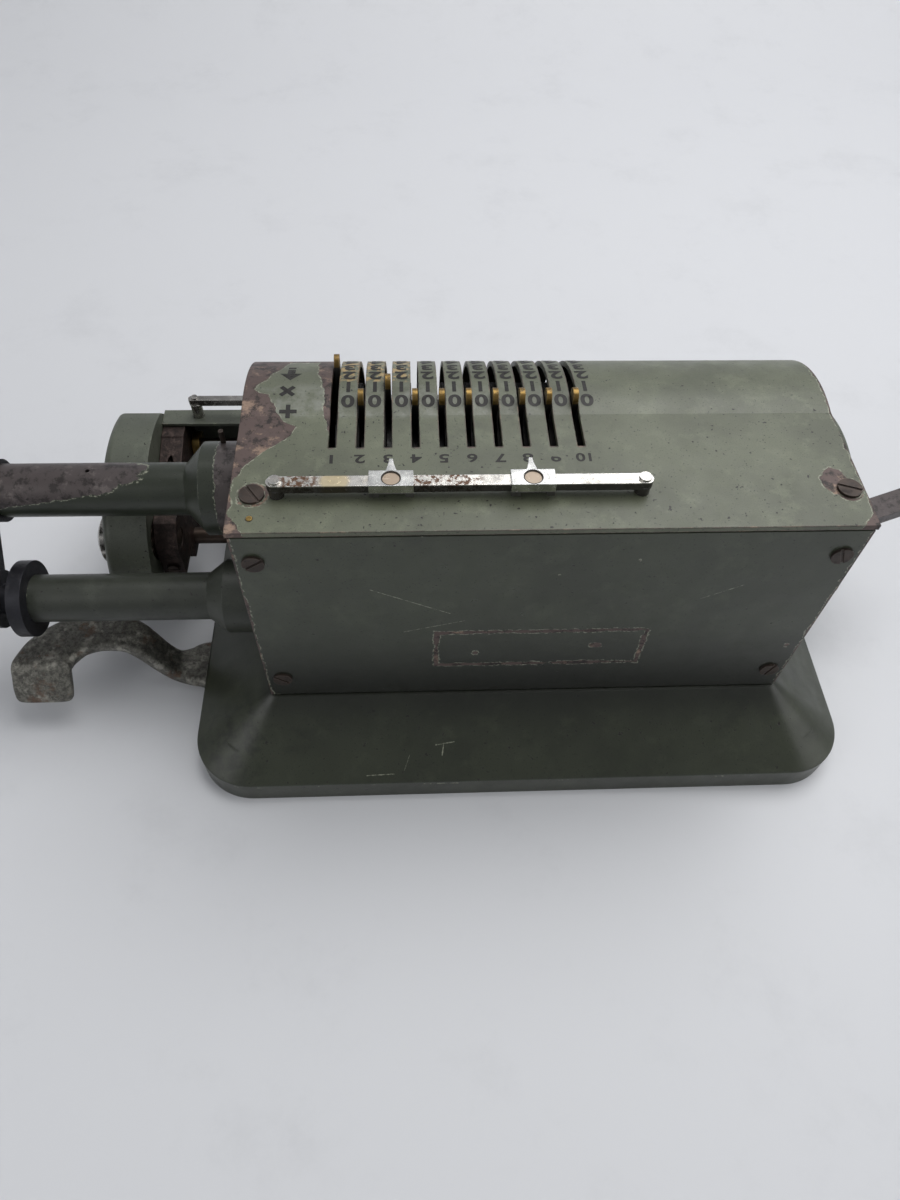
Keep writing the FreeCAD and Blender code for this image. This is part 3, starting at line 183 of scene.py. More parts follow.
    def scratch(self, u, v, start, end, width=0.2):
        """How far inside a straight scratch a place is, in millimetres, from two of its coordinates."""
        length = math.hypot(end[0] - start[0], end[1] - start[1])
        a, b = (end[0] - start[0]) / length, (end[1] - start[1]) / length
        from_u = self.sum("SUBTRACT", u, (start[0] + end[0]) / 2)
        from_v = self.sum("SUBTRACT", v, (start[1] + end[1]) / 2)
        along = self.sum("ABSOLUTE", self.sum("MULTIPLY_ADD", from_u, a, self.sum("MULTIPLY", from_v, b)))
        across = self.sum("ABSOLUTE", self.sum("MULTIPLY_ADD", from_u, b, self.sum("MULTIPLY", from_v, -a)))
        beyond = self.sum("SUBTRACT", along, length / 2)
        return self.sum("SUBTRACT", width, self.sum("MAXIMUM", across, beyond))

    def relief(self, height, depth=0.05, strength=0.6, soften=0.35):
        """Bump from a height, on edges that are rounded by soften millimetres."""
        bump = self.tree.nodes.new("ShaderNodeBump")
        bump.inputs["Strength"].default_value = strength
        bump.inputs["Distance"].default_value = depth * MM
        self.feed(height, bump.inputs["Height"])
        if soften:
            soft = self.tree.nodes.new("ShaderNodeBevel")
            soft.samples = 4
            soft.inputs["Radius"].default_value = soften * MM
            self.tree.links.new(soft.outputs[0], bump.inputs["Normal"])
        self.feed(bump.outputs[0], self.shader.inputs["Normal"])

    def set(self, **sockets):
        for name, value in sockets.items():
            self.feed(value, self.shader.inputs[name.replace("_", " ")])


BARE_BROWN = linear(88, 74, 70)
BARE_PALE = linear(142, 120, 104)
BARE_DARK = linear(44, 38, 36)
CHIP_RIM = linear(150, 152, 134)
WORN_CREAM = linear(172, 146, 100)
DUST = linear(150, 152, 146)


def bare_metal(finish, dark=BARE_DARK, brown=BARE_BROWN, pale=BARE_PALE):
    """The oxidised steel under the enamel: brown, with pale rubbed places and darker stains."""
    rubbed = finish.band(finish.cloud(7.0, 6, 0.7, shift=3.1), 0.54, 0.66)
    stained = finish.band(finish.cloud(4.0, 6, 0.75, shift=8.4), 0.48, 0.62)
    return finish.blend(stained, finish.blend(rubbed, brown, pale), dark)


def enamel(name, colour, edge_wear=1.0, zones=None, roughness=0.5, grime=0.35, grit=0.5, soften=0.4,
           shade=None, scratches=None, halo=None, dust=None, metal=(BARE_DARK, BARE_BROWN, BARE_PALE)):
    """Old sprayed enamel: uneven green with grain, dark specks and grime, worn to metal on its edges.

    zones(finish) gives more worn places and scratches(finish) thin pale ones, both as a length in
    millimetres, positive where the paint is gone. shade(finish) is a share, 0 to 1, of painted shade,
    halo(finish) one of a pale worn cream, and dust(finish) one of grey dust.
    """
    f = Finish(name)
    base = linear(*colour)
    coat = f.blend(f.band(f.cloud(34, 4, 0.6), 0.35, 0.66), base, linear(*[c * 0.86 for c in colour]))
    lighter = linear(*[min(255, c * 1.12 + 3) for c in colour])
    coat = f.blend(f.band(f.cloud(9, 5, 0.7, shift=2.2), 0.5, 0.72, 0.0, 0.6), coat, lighter)
    grain = f.cloud(0.4, 3, 0.7, shift=5.0)
    darker = linear(*[c * 0.55 for c in colour])
    coat = f.blend(f.band(grain, 0.52, 0.72, 0.0, grit), coat, darker)
    soot = f.band(f.cloud(18, 6, 0.72, shift=7.7), 0.52, 0.75, 0.0, grime)
    coat = f.blend(soot, coat, linear(*[c * 0.5 for c in colour]))
    specks = f.band(f.cloud(1.5, 1, 0.4, shift=11.0), 0.735, 0.77)
    coat = f.blend(specks, coat, linear(30, 26, 22))
    fine_specks = f.band(f.cloud(0.7, 1, 0.4, shift=21.0), 0.70, 0.74, 0.0, 0.7)
    coat = f.blend(fine_specks, coat, linear(*[c * 0.4 for c in colour]))
    # painted shade: the coat darkens towards a third of its green where shade(finish) says
    if shade:
        coat = f.blend(shade(f), coat, linear(*[c * 0.3 for c in colour]))
    if dust:
        coat = f.blend(dust(f), coat, DUST)
    if halo:
        coat = f.blend(halo(f), coat, WORN_CREAM)
    if scratches:
        broken = f.sum("MULTIPLY", f.sum("SUBTRACT", f.cloud(1.6, 4, 0.7, shift=14.0), 0.5), 0.9)
        scored = f.band(f.sum("ADD", scratches(f), broken), -0.08, 0.1, 0.0, 0.75)
        coat = f.blend(scored, coat, CHIP_RIM)
    ragged = f.cloud(6.0, 6, 0.68, shift=1.3)
    fine = f.cloud(1.4, 3, 0.6, shift=4.4)
    roughly = f.sum("MULTIPLY_ADD", f.sum("SUBTRACT", ragged, 0.5), 9.0,
                    f.sum("MULTIPLY", f.sum("SUBTRACT", fine, 0.5), 2.4))
    worn = f.sum("ADD", f.sum("MULTIPLY_ADD", f.arris(), 2.6 * edge_wear, -2.7 + 0.5 * edge_wear),
                 f.sum("MULTIPLY", roughly, 0.55))
    if zones:
        worn = f.sum("MAXIMUM", worn, f.sum("MULTIPLY_ADD", roughly, 0.42, zones(f)))
    bare = f.band(worn, -0.1, 0.1)
    rim = f.sum("MULTIPLY", f.band(worn, -0.55, -0.12), f.sum("SUBTRACT", 1.0, bare))
    coat = f.blend(f.sum("MULTIPLY", rim, f.band(fine, 0.42, 0.56, 0.0, 0.8)), coat, CHIP_RIM)
    f.set(Base_Color=f.blend(bare, coat, bare_metal(f, *metal)))
    gloss = f.sum("MULTIPLY_ADD", f.cloud(7, 4, 0.6, shift=6.0), 0.30, roughness - 0.15)
    f.set(Roughness=f.sum("ADD", gloss, f.sum("MULTIPLY", bare, 0.08)))
    f.set(Metallic=f.sum("MULTIPLY", bare, 0.35))
    height = f.sum("MULTIPLY_ADD", grain, 0.45, f.sum("MULTIPLY", bare, -1.0))
    height = f.sum("MULTIPLY_ADD", f.cloud(4.5, 3, 0.6, shift=9.0), 0.6, height)
    f.relief(f.sum("MULTIPLY_ADD", specks, -1.2, height), 0.07, 0.55, soften)
    return f.material


def worn_metal(name, colour, stain, metallic=0.9, roughness=0.38, stained=0.5, grain_size=2.0, soften=0.3,
               scratch=0.3, depth=0.04, patches=()):
    """Bare metal with stains, fine scratches and an uneven polish.

    patches lists (share, colour): share(finish) is 0 to 1, how much of that colour covers the metal.
    """
    f = Finish(name)
    base = linear(*colour)
    second = linear(*[c * 0.78 for c in colour])
    tone = f.blend(f.band(f.cloud(grain_size * 4, 4, 0.6), 0.35, 0.7), base, second)
    spots = f.band(f.cloud(grain_size, 6, 0.72, shift=2.0), 0.62 - 0.22 * stained, 0.74 - 0.16 * stained)
    tone = f.blend(f.sum("MULTIPLY", spots, 0.25 + 0.7 * stained), tone, linear(*stain))
    edge = f.arris(0.7)
    tone = f.blend(f.sum("MULTIPLY", edge, 0.35), tone, linear(*[min(255, c * 1.25 + 12) for c in colour]))
    covered = f.sum("MULTIPLY", spots, 0.75)
    for share, patch in patches:
        amount = share(f)
        tone = f.blend(amount, tone, linear(*patch))
        covered = f.sum("MAXIMUM", covered, f.sum("MULTIPLY", amount, 0.8))
    scores = f.band(f.cloud(1.2, 2, 0.5, stretch=(0.07, 1, 1), shift=5.5), 0.60, 0.70)
    f.set(Base_Color=tone)
    f.set(Metallic=f.sum("MULTIPLY_ADD", covered, -metallic, metallic))
    rough = f.sum("MULTIPLY_ADD", f.cloud(grain_size * 2, 4, 0.6, shift=3.0), 0.3, roughness - 0.15)
    rough = f.sum("MULTIPLY_ADD", spots, 0.28, rough)
    f.set(Roughness=f.sum("MULTIPLY_ADD", scores, scratch * 0.3, rough))
    height = f.sum("MULTIPLY_ADD", spots, -0.5, f.cloud(grain_size * 0.4, 3, 0.6, shift=7.0))
    f.relief(f.sum("MULTIPLY_ADD", scores, -scratch, height), depth, 0.4, soften)
    return f.material


def cast_iron(name, colour, rust, roughness=0.55, depth=0.25, brightness=1.25):
    """Rough cast metal, mottled, pale on what hands have rubbed and brown in its pits."""
    f = Finish(name)
    base = linear(*colour)
    pale = linear(*[min(255, c * brightness + 14) for c in colour])
    mottle = f.band(f.cloud(2.0, 6, 0.75), 0.36, 0.66)
    tone = f.blend(mottle, linear(*[c * 0.62 for c in colour]), base)
    tone = f.blend(f.band(f.cloud(6.5, 5, 0.7, shift=4.0), 0.52, 0.66, 0, 0.75), tone, pale)
    brown = f.band(f.cloud(8.0, 5, 0.7, shift=9.0), 0.54, 0.66)
    pits = f.band(f.cloud(1.0, 3, 0.6, shift=12.0), 0.60, 0.72)
    tone = f.blend(f.sum("MULTIPLY", brown, 0.65), tone, linear(*rust))
    tone = f.blend(f.sum("MULTIPLY", pits, 0.7), tone, linear(*[c * 0.4 for c in colour]))
    tone = f.blend(f.sum("MULTIPLY", f.arris(1.4), 0.4), tone, pale)
    f.set(Base_Color=tone, Metallic=0.55)
    f.set(Roughness=f.sum("MULTIPLY_ADD", f.cloud(3, 4, 0.6, shift=2.0), 0.35, roughness - 0.17))
    height = f.sum("MULTIPLY_ADD", pits, -0.8, f.sum("ADD", f.cloud(2.2, 5, 0.7, shift=6.0),
                                                   f.cloud(0.7, 3, 0.6, shift=8.0)))
    f.relief(height, depth, 0.5, 0.6)
    return f.material


def cover_zones(f):
    """Where the cover's enamel is gone: the machine's right end, a strip by slot 1, the corners."""
    end_line = f.line(f.y, [(-24, 81), (-19, 82.1), (-15, 84.8), (-11.2, 86), (-8.3, 88.3), (-5.7, 89.6),
                            (-3.9, 88.3), (-3.1, 85.1), (0, 84), (4.6, 81.9), (8.3, 79.6), (10.4, 75.9),
                            (14.4, 77.1), (23.2, 87.1), (28, 90.5), (33.3, 92.5), (46, 92.4), (53, 88)])
    end_zone = f.sum("SUBTRACT", f.x, end_line)
    strip_line = f.line(f.y, [(-24, 70.6), (-18.2, 70.4), (-8.6, 68.9), (-5.1, 67.9), (4.7, 67.6),
                              (8.3, 66.6), (20, 65)])
    strip = f.least(f.sum("SUBTRACT", strip_line, f.x), f.sum("SUBTRACT", f.x, SLOT_1 + 0.8),
                    f.sum("SUBTRACT", 12, f.y))
    across = f.sum("ABSOLUTE", f.x)
    sides = f.sum("SUBTRACT", across, CASE_HALF - 0.3)
    corners = f.sum("MULTIPLY", f.sum("SUBTRACT", f.sum("ADD", across, f.y), CORNER_SUM), 0.7)
    patch = f.spot(f.x, f.y, (-85.0, 35.5), 4.2, 0.8)
    rings = f.most(*[f.sum("SUBTRACT", 0.25, f.sum("ABSOLUTE", f.spot(f.x, f.y, place, 4.2)))
                     for place in COVER_SCREWS])
    front_edge = f.least(f.sum("MULTIPLY", f.sum("ADD", f.y, 26.0), -0.5), f.sum("SUBTRACT", f.x, 66.0))
    return f.most(end_zone, strip, sides, corners, patch, rings, front_edge)


def cover_halo(f):
    """Cream rubbed round the figures of the first three rows, where fingers pass most."""
    rows = f.band(f.y, -8.5, -10.5)
    near = f.band(f.x, 38.5, 40.0)
    blotches = f.band(f.cloud(2.4, 4, 0.65, shift=30.0), 0.46, 0.58, 0.0, 0.8)
    right_of = f.band(f.x, 66.0, 65.0)
    return f.sum("MULTIPLY", f.sum("MULTIPLY", rows, near), f.sum("MULTIPLY", blotches, right_of))


def cover_dust(f):
    """Pale handling marks on the round of the cover, behind the figures."""
    band_of = f.sum("MULTIPLY", f.band(f.y, -12.0, -2.0), f.band(f.y, 8.0, 5.0))
    blotch = f.band(f.cloud(6, 5, 0.65, shift=44.0), 0.36, 0.7)
    nearer = f.sum("MULTIPLY", band_of, f.band(f.x, -30.0, 30.0))
    return f.sum("MULTIPLY", nearer, f.sum("MULTIPLY", blotch, 0.4))


def plate_zones(f):
    """The rear plate: rubbed corners and the bare border where a label was once riveted."""
    across = f.sum("SUBTRACT", f.sum("ABSOLUTE", f.sum("SUBTRACT", f.x, LABEL_X)), LABEL_WIDE / 2)
    up = f.sum("SUBTRACT", f.sum("ABSOLUTE", f.sum("SUBTRACT", f.z, LABEL_Z)), LABEL_HIGH / 2)
    border = f.sum("SUBTRACT", 0.75, f.sum("ABSOLUTE", f.sum("MAXIMUM", across, up)))
    rust = f.most(f.spot(f.x, f.z, (-21.0, 63.9), 2.3, 1.6), f.spot(f.x, f.z, (20.0, 60.3), 1.1))
    chips = f.most(f.spot(f.x, f.z, (-88.1, 61.6), 0.8), f.spot(f.x, f.z, (-26.4, 110.1), 0.3),
                   f.spot(f.x, f.z, (-3.4, 103.4), 0.3))
    return f.most(border, rust, chips, f.sum("SUBTRACT", f.sum("ABSOLUTE", f.x), 92.0))


def plate_shade(f):
    """Painted shade: the plate gets darker towards the base, standing in for the base's shade on it and its
    dark reflection in it.
    """
    return f.sum("MULTIPLY", f.band(f.z, 92.0, 38.0), 0.85)


def plate_scratches(f):
    """Fine scratches across the rear plate."""
    return f.most(f.scratch(f.x, f.z, (53.9, 97.3), (29.1, 84.0), 0.1),
                  f.scratch(f.x, f.z, (44, 74.0), (24, 80.0), 0.08),
                  f.scratch(f.x, f.z, (-50, 90.0), (-62, 97.0), 0.06))


def base_scratches(f):
    """A short pale gouge on the base's rear slope, and fine marks beside it."""
    return f.most(f.scratch(f.x, f.y, (31.0, 70.6), (30.4, 67.4), 0.16),
                  f.scratch(f.x, f.y, (33.4, 67.8), (26.6, 67.0), 0.12),
                  f.scratch(f.x, f.y, (45.0, 74.6), (43.0, 70.4), 0.02),
                  f.scratch(f.x, f.y, (58.9, 75.8), (48.8, 75.5), 0.04))


def base_shade(f):
    """Painted shade on the base along the foot of the case, and darker blotches by the machine's right rear
    corner.
    """
    shade_by_case = f.sum("MULTIPLY", f.band(f.y, 66.0, 54.0), f.band(f.sum("ABSOLUTE", f.x), 100.0, 94.0))
    corner = f.band(f.spot(f.x, f.y, (108.0, 62.0), 14.0), -6.0, 6.0, 0.0, 0.6)
    blotch = f.band(f.cloud(7, 5, 0.7, shift=33.0), 0.42, 0.62)
    return f.sum("MAXIMUM", f.sum("MULTIPLY", shade_by_case, 0.6), f.sum("MULTIPLY", corner, blotch))


def tube_zones(f):
    """The crank's tube is rubbed brown along its top, more towards the crank."""
    lower_line = f.line(f.x, [(112, 100), (121, 97), (133, 91.5), (145, 88.5), (160, 86.5), (183, 83)])
    on_boss = f.sum("SUBTRACT", 113.0, f.x)
    return f.sum("MAXIMUM", f.sum("SUBTRACT", f.z, lower_line), f.sum("SUBTRACT", on_boss, 6.0))


def lever_body(f):
    """The part of a setting lever below its tip, seen from the drum's axis."""
    return f.band(f.spot(f.y, f.z, (DRUM_Y, DRUM_Z), 44.0), -0.6, 0.2)


def bar_rust(f):
    """Rust spots on the cover's decimal bar, at the places where the photograph shows them."""
    by_end = f.band(f.spot(f.x, f.y, (72.7, BAR_Y), 5.5), -1.5, 1.5)
    middle = f.band(f.spot(f.x, f.y, (32.0, BAR_Y), 11.0), -2.0, 2.0)
    blotch = f.band(f.cloud(1.8, 5, 0.7, shift=35.0), 0.46, 0.56)
    return f.sum("MULTIPLY", f.sum("MAXIMUM", by_end, middle), blotch)


def bar_lacquer(f):
    """A patch of old yellow lacquer on the bar."""
    return f.band(f.spot(f.x, f.y, (62.6, BAR_Y), 4.2), -1.0, 1.0, 0.0, 0.7)


def bar_underside(f):
    """The bar's posts, which are dark steel, and its lower half, darkened as painted shade."""
    return f.band(f.z, 129.55, 129.35, 0.0, 0.94)


def marker_disc(f):
    """The cream disc in the recess of each marker on the cover's bar."""
    discs = f.most(*[f.spot(f.x, f.y, (x, BAR_Y), 2.6) for x in MARKERS_X])
    return f.sum("MULTIPLY", f.band(discs, -0.1, 0.1), f.band(f.z, 129.9, 130.1))


def marker_ring(f):
    """The dark line round each marker's disc."""
    rings = f.least(*[f.sum("ABSOLUTE", f.spot(f.x, f.y, (x, BAR_Y), 2.65)) for x in MARKERS_X])
    return f.sum("MULTIPLY", f.band(rings, 0.3, 0.12), f.band(f.z, 129.9, 130.1))


def marker_foot(f):
    """Painted shadow under each marker."""
    return f.band(f.z, 128.0, 127.4, 0.0, 0.9)


def base_zones(f):
    """Chips along the base's rim."""
    rim = f.sum("SUBTRACT", 0.3, f.sum("ABSOLUTE", f.sum("SUBTRACT", f.z, 9.5)))
    patchy = f.sum("MULTIPLY", f.sum("SUBTRACT", f.cloud(14, 4, 0.7, shift=40.0), 0.62), 8.0)
    return f.sum("MINIMUM", f.sum("SUBTRACT", rim, 0.6), patchy)


def build_finishes():
    iron_rust = (70, 48, 38)
    return {
        "cover_enamel": enamel("cover_enamel", (96, 100, 82), 1.0, cover_zones, 0.42, 0.35, halo=cover_halo,
                               dust=cover_dust),
        # the plate's green is darker than the cover's, partly as painted shade for its rear face
        "plate_enamel": enamel("plate_enamel", (60, 65, 51), 0.5, plate_zones, 0.34, 0.3, 0.35,
                               shade=plate_shade, scratches=plate_scratches),
        "frame_enamel": enamel("frame_enamel", (65, 70, 56), 0.7, None, 0.4, 0.4),
        "base_enamel": enamel("base_enamel", (52, 56, 43), 0.4, base_zones, 0.36, 0.45, 0.5, soften=1.4,
                              shade=base_shade, scratches=base_scratches),
        "tube_enamel": enamel("tube_enamel", (48, 53, 42), 0.7, tube_zones, 0.34, 0.5,
                              metal=(linear(50, 45, 44), linear(78, 71, 70), linear(104, 96, 94))),
        "post_enamel": enamel("post_enamel", (56, 59, 51), 0.6, None, 0.42, 0.6),
        "carriage_enamel": enamel("carriage_enamel", (90, 94, 82), 0.7, None, 0.45, 0.45),
        "bare_iron": cast_iron("bare_iron", (62, 50, 46), iron_rust, 0.6),
        "bare_lever": cast_iron("bare_lever", (124, 122, 114), (100, 76, 60), 0.46),
        "dark_steel": worn_metal("dark_steel", (46, 46, 51), (28, 26, 28), 0.6, 0.42, 0.4),
        "steel": worn_metal("steel", (130, 124, 114), (74, 58, 48), 0.9, 0.34, 0.45),
        "oiled_steel": worn_metal("oiled_steel", (84, 72, 64), (44, 34, 30), 0.8, 0.36, 0.5),
        "black_steel": worn_metal("black_steel", (40, 37, 34), (22, 20, 18), 0.5, 0.5, 0.5),
        "screw_steel": worn_metal("screw_steel", (70, 60, 54), (34, 28, 25), 0.6, 0.42, 0.6),
        "brass": worn_metal("brass", (166, 138, 82), (84, 62, 34), 0.95, 0.34, 0.45),
        "lever_brass": worn_metal("lever_brass", (138, 112, 64), (62, 48, 30), 0.9, 0.36, 0.6,
                                  patches=[(lever_body, (24, 22, 20))]),
        # chrome: the bar's lower half is darkened here as painted shade, its posts as dark steel
        "chrome": worn_metal("chrome", (226, 222, 214), (150, 132, 108), 1.0, 0.2, 0.3, 1.6,
                             patches=[(bar_lacquer, (186, 166, 116)), (bar_rust, (92, 64, 44)),
                                      (bar_underside, (26, 23, 20))]),
        # marker_chrome: the dark band under each marker is a painted shadow
        "marker_chrome": worn_metal("marker_chrome", (216, 216, 212), (112, 96, 78), 1.0, 0.22, 0.2, 1.4,
                                    patches=[(marker_disc, (176, 158, 138)), (marker_ring, (60, 54, 48)),
                                             (marker_foot, (30, 27, 24))]),
        "old_chrome": worn_metal("old_chrome", (168, 165, 160), (84, 76, 68), 0.95, 0.22, 0.25, 1.4),
        "dial_enamel": worn_metal("dial_enamel", (46, 46, 44), (30, 28, 26), 0.1, 0.4, 0.3),
        "grip_black": worn_metal("grip_black", (34, 33, 34), (60, 56, 52), 0.0, 0.3, 0.15),
        "rubber": worn_metal("rubber", (40, 40, 39), (60, 58, 54), 0.0, 0.75, 0.3),
    }


def dress_nodes(finishes):
    """Each construction node takes the finish listed for it in special, or else the finish of its slot."""
    slots = {entry["node"]: entry["material_slot"] for entry in frame["record"]["subparts"]}
    special = {"right_side_frame": "frame_enamel", "left_side_frame": "frame_enamel",
               "crank_stop_post": "post_enamel", "carriage_slide_rod": "oiled_steel",
               "dial_shaft_rod": "oiled_steel", "result_clearing_shaft": "oiled_steel",
               "result_clearing_lever": "old_chrome", "carriage_decimal_bar": "old_chrome",
               "pinwheel_discs": "black_steel", "pinwheel_pins": "black_steel",
               "carriage_marker_1": "old_chrome", "carriage_marker_2": "old_chrome",
               "carriage_latch": "old_chrome", "decimal_marker_1": "marker_chrome",
               "decimal_marker_2": "marker_chrome"}
    special.update({"setting_lever_%d" % (slot + 1): "lever_brass" for slot in range(10)})
    for name, node in frame["nodes"].items():
        finish = finishes[special.get(name, slots[name])]
        node.data.materials.clear()
        node.data.materials.append(finish)


def surface(name, points, faces, body, finish, smooth=True):
    """A finished mesh piece from points in millimetres, which rides on a body."""
    mesh = bpy.data.meshes.new(name)
    mesh.from_pydata((np.asarray(points, float) * MM).tolist(), [], [tuple(map(int, q)) for q in faces])
    mesh.materials.append(finish)
    mesh.polygons.foreach_set("use_smooth", np.full(len(mesh.polygons), smooth))
    mesh.update()
    piece = bpy.data.objects.new(name, mesh)
    bpy.context.scene.collection.objects.link(piece)
    if body:
        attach(piece, body)
    return piece


def grid_faces(rows, columns, closed=True):
    """Quads between neighbouring rows and columns of a grid; closed joins the last column to the first."""
    r = np.arange(rows - 1)[:, None]
    c = np.arange(columns if closed else columns - 1)[None, :]
    after = (c + 1) % columns
    here, above = r * columns, (r + 1) * columns
    quads = np.stack([here + c, here + after, above + after, above + c], -1)
    return quads.reshape(-1, 4)


def flat_text(words, size, wide=1.0, heavy=0.0):
    """The outline of a figure as points and faces, centred and flat, size millimetres high."""
    curve = bpy.data.curves.new("figure", "FONT")
    curve.body = words
    curve.extrude = 0.0
    curve.offset = heavy
    curve.align_x, curve.align_y = "CENTER", "CENTER"
    curve.resolution_u = 5
    holder = bpy.data.objects.new("figure", curve)
    bpy.context.scene.collection.objects.link(holder)
    bpy.context.view_layer.update()
    mesh = bpy.data.meshes.new_from_object(holder.evaluated_get(bpy.context.evaluated_depsgraph_get()))
    points = np.empty(len(mesh.vertices) * 3)
    mesh.vertices.foreach_get("co", points)
    points = points.reshape(-1, 3)
    faces = [tuple(p.vertices) for p in mesh.polygons]
    bpy.data.objects.remove(holder)
    bpy.data.curves.remove(curve)
    bpy.data.meshes.remove(mesh)
    low, high = points.min(0), points.max(0)
    scale = size / (high[1] - low[1])
    points = (points - (low + high) / 2) * (scale * wide, scale, 0)
    return points, faces


def on_hump(points, x, angle, lift):
    """Flat points wrapped on the round of the cover: up the figure is towards the rear along the arc."""
    turn = np.radians(angle) + points[:, 1] / HUMP
    radius = HUMP + lift
    return np.stack([x + points[:, 0], DRUM_Y + radius * np.sin(turn), DRUM_Z + radius * np.cos(turn)], -1)


def on_cover(points, x, angle, lift):
    """Flat points wrapped on the round of the cover, and lifted to its flat where the round is below it."""
    placed = on_hump(points, x, angle, lift)
    behind = placed[:, 1] > DRUM_Y
    placed[behind, 2] = np.maximum(placed[behind, 2], FLAT + lift)
    return placed


def on_flat(points, x, y, lift):
    return np.stack([x + points[:, 0], y + points[:, 1], np.full(len(points), FLAT + lift)], -1)


def symbol(kind, size):
    """A plus, a cross or an arrow, from its arm lengths and its stroke."""
    half, stroke = size / 2, size * 0.13
    if kind == "arrow":
        outline = [(-stroke, half), (-stroke, -half * 0.1), (-half * 0.75, -half * 0.1), (0, -half),
                   (half * 0.75, -half * 0.1), (stroke, -half * 0.1), (stroke, half)]
        points = np.array([(-a, -b, 0.0) for a, b in outline])
        return points, [tuple(range(len(outline)))[::-1]]
    bars = []
    for turn in ((0, 90) if kind == "plus" else (45, 135)):
        c, s = math.cos(math.radians(turn)), math.sin(math.radians(turn))
        box = np.array([(-half, -stroke), (half, -stroke), (half, stroke), (-half, stroke)])
        across, along = box[:, 0] * c - box[:, 1] * s, box[:, 0] * s + box[:, 1] * c
        bars.append(np.stack([across, along, np.zeros(4)], -1))
    return np.concatenate(bars), [(0, 1, 2, 3), (4, 5, 6, 7)]


def stamped_figures(finish):
    """The slot numbers, the values beside each slot and the three signs, as one thin inlay on the cover."""
    points, faces, count = [], [], 0

    def add(placed, shape_faces):
        nonlocal count
        points.append(placed)
        faces.extend([tuple(i + count for i in f) for f in shape_faces])
        count += len(placed)

    for slot in range(10):
        x = SLOT_1 - slot * PITCH
        wide = 1.4 if slot < 9 else 1.2
        shape, shape_faces = flat_text(str(slot + 1), SLOT_NUMBER_HEIGHT, wide, 0.025)
        add(on_flat(shape, x, SLOT_NUMBER_Y, 0.05), shape_faces)
        for value in range(10):
            wide = 1.2 if value != 1 else 1.05
            shape, shape_faces = flat_text(str(value), FIGURE_HEIGHT, wide, 0.035)
            angle = FIRST_FIGURE - FIGURE_STEP * value
            add(on_hump(shape, x - FIGURE_ASIDE, angle, 0.07), shape_faces)
    signs = (("plus", 78.7, 4.0, 5.4), ("cross", 79.4, -4.7, 5.8), ("arrow", 79.0, -15.0, 9.5))
    for kind, x, y, size in signs:
        shape, shape_faces = symbol(kind, size)
        angle = math.degrees(math.asin((y - DRUM_Y) / HUMP))
        add(on_cover(shape, x, angle, 0.06), shape_faces)
    return surface("stamped_figures", np.concatenate(points), faces, "base", finish, smooth=False)


def smooth_path(knots, count):
    """A Catmull-Rom curve through rows of numbers, evaluated at count even steps."""
    knots = np.asarray(knots, float)
    padded = np.vstack([2 * knots[0] - knots[1], knots, 2 * knots[-1] - knots[-2]])
    spans = len(knots) - 1
    u = np.linspace(0, spans, count)
    i = np.minimum(u.astype(int), spans - 1)
    t = (u - i)[:, None]
    a, b, c, d = padded[i], padded[i + 1], padded[i + 2], padded[i + 3]
    square, cube = 2 * a - 5 * b + 4 * c - d, 3 * b - a - 3 * c + d
    return 0.5 * (2 * b + (c - a) * t + square * t ** 2 + cube * t ** 3)


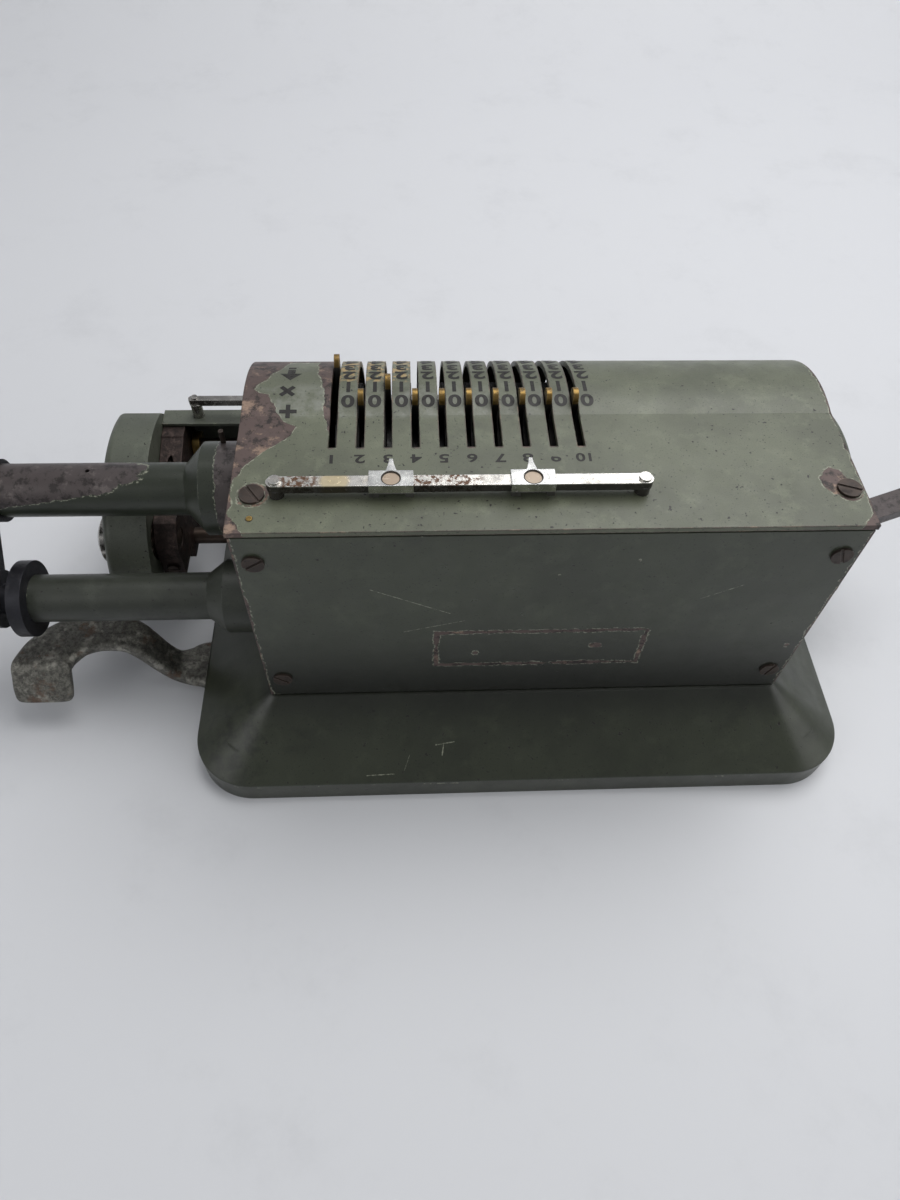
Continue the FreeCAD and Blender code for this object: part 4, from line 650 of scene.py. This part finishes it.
def cast_lever(finish):
    """The register lever: a flat cast bar whose section is a rounded rectangle carried along a bent path.

    Each knot is x, y, z, half width, half thickness and the heading of the bar in plan, in degrees.
    """
    knots = [(100.0, 23, 5.5, 6.0, 1.2, 0), (101.0, 23, 5.5, 8.4, 2.4, 0),
             (108.0, 23, 5.5, 9.6, 2.9, 0), (117.0, 22.5, 5.5, 10.2, 2.9, 0),
             (125.0, 22, 5.6, 10.4, 2.9, 0), (131.0, 22.8, 5.9, 8.2, 2.9, 0),
             (136.5, 23.2, 8.0, 6.4, 2.9, 0), (141.0, 22.8, 13.5, 6.1, 2.9, -2),
             (145.5, 21.8, 20.5, 6.3, 2.9, -8), (150.5, 20.0, 24.4, 6.8, 2.9, -14),
             (157.0, 18.3, 25.1, 7.8, 2.9, -8), (164.0, 18.0, 25.1, 8.4, 2.9, 4),
             (171.5, 20.0, 25.1, 9.2, 2.9, 24), (177.5, 24.6, 25.1, 10.2, 2.9, 50),
             (181.0, 29.5, 25.1, 10.9, 2.9, 78), (182.0, 33.4, 25.6, 11.0, 2.3, 90),
             (182.0, 36.4, 22.8, 11.0, 2.2, 90), (182.0, 39.4, 19.2, 11.0, 2.1, 90),
             (182.0, 41.6, 15.9, 10.4, 1.9, 90), (182.0, 42.2, 14.8, 8.6, 1.5, 90),
             (182.0, 42.5, 14.3, 4.0, 0.7, 90)]
    rows, columns = 150, 40
    track = smooth_path(knots, rows)
    centre, half_width, half_depth = track[:, :3], track[:, 3], track[:, 4]
    heading = np.radians(track[:, 5])
    ahead = np.gradient(centre, axis=0)
    ahead /= np.linalg.norm(ahead, axis=1, keepdims=True)
    aside = np.stack([-np.sin(heading), np.cos(heading), np.zeros(rows)], -1)
    aside -= ahead * (aside * ahead).sum(1, keepdims=True)
    aside /= np.linalg.norm(aside, axis=1, keepdims=True)
    above = np.cross(ahead, aside)
    turn = np.linspace(0, 2 * np.pi, columns, endpoint=False)
    c, s = np.cos(turn), np.sin(turn)
    wide = np.sign(c) * np.abs(c) ** 0.42
    deep = np.sign(s) * np.abs(s) ** 0.55
    skin = (centre[:, None, :] + aside[:, None, :] * (half_width[:, None] * wide)[..., None]
            + above[:, None, :] * (half_depth[:, None] * deep)[..., None]).reshape(-1, 3)
    faces = grid_faces(rows, columns).tolist()
    ends = np.stack([centre[0], centre[-1]])
    points = np.vstack([skin, ends])
    start, finish_end = len(skin), len(skin) + 1
    last = (rows - 1) * columns
    faces += [(start, (k + 1) % columns, k) for k in range(columns)]
    faces += [(finish_end, last + k, last + (k + 1) % columns) for k in range(columns)]
    lever = surface("cast_lever", points, faces, "register_lever", finish)
    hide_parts("register_clear_lever")
    return lever


def set_camera():
    """The photograph's viewpoint: behind the machine and above it."""
    data = bpy.data.cameras.new("camera")
    camera = bpy.data.objects.new("camera", data)
    bpy.context.scene.collection.objects.link(camera)
    yaw, pitch, roll = (math.radians(a) for a in (-4.428, 54.150, 2.667))
    ahead = Vector((math.sin(yaw) * math.cos(pitch), -math.cos(yaw) * math.cos(pitch), -math.sin(pitch)))
    right = ahead.cross(Vector((0, 0, 1))).normalized()
    up = right.cross(ahead)
    c, s = math.cos(roll), math.sin(roll)
    right, up = c * right + s * up, c * up - s * right
    turn = Matrix((right, up, -ahead)).transposed().to_4x4()
    camera.matrix_world = Matrix.Translation(Vector((41.26, 206.07, 303.9)) * MM) @ turn
    data.sensor_width, data.sensor_fit = 36.0, "AUTO"
    data.lens = 843.27 / 1200 * 36.0
    data.clip_start = 0.01
    data.clip_end = 50
    bpy.context.scene.camera = camera


def set_stage():
    """A pale floor that curves up into a backdrop, and soft lights."""
    f = Finish("floor")
    dirt = f.band(f.cloud(60, 6, 0.7), 0.5, 0.75, 0.0, 0.25)
    f.set(Base_Color=f.blend(dirt, linear(208, 209, 212), linear(182, 183, 186)), Roughness=0.55)
    back, bend_radius, top, half_wide = -520.0, 260.0, 1900.0, 2600.0
    bend = np.radians(np.linspace(0, 90, 12))
    line = [(900.0, 0.0), (back, 0.0)]
    line += [(back - bend_radius * math.sin(a), bend_radius * (1 - math.cos(a))) for a in bend[1:]]
    line.append((back - bend_radius, top))
    line = np.array(line)
    points = np.array([(x, y, z) for y, z in line for x in (-half_wide, half_wide)])
    floor = surface("floor", points, grid_faces(len(line), 2, closed=False)[:, ::-1], None, f.material)
    world = bpy.data.worlds.new("room")
    bpy.context.scene.world = world
    world.use_nodes = True
    sky = world.node_tree.nodes["Background"]
    sky.inputs["Color"].default_value = (0.93, 0.96, 1.0, 1)
    sky.inputs["Strength"].default_value = 0.3
    for name, place, aim, size, power in (("overhead", (-330, -330, 1150), (20, 20, 60), 1000, 12.8),
                                          ("side_fill", (-1000, 420, 520), (-60, 0, 40), 700, 2.2),
                                          ("crank_fill", (900, 500, 650), (140, 0, 50), 700, 2.0)):
        data = bpy.data.lights.new(name, "AREA")
        data.size = size * MM
        data.energy = power
        lamp = bpy.data.objects.new(name, data)
        lamp.location = Vector(place) * MM
        lamp.rotation_mode = "QUATERNION"
        lamp.rotation_quaternion = (Vector(aim) - Vector(place)).to_track_quat("-Z", "Y")
        bpy.context.scene.collection.objects.link(lamp)
    bpy.context.scene.view_settings.view_transform = "Standard"


finishes = build_finishes()
dress_nodes(finishes)
stamped_figures(worn_metal("figure_fill", (30, 27, 24), (18, 16, 14), 0.2, 0.5, 0.5, 1.2, soften=0))
cast_lever(finishes["bare_lever"])
set_camera()
set_stage()
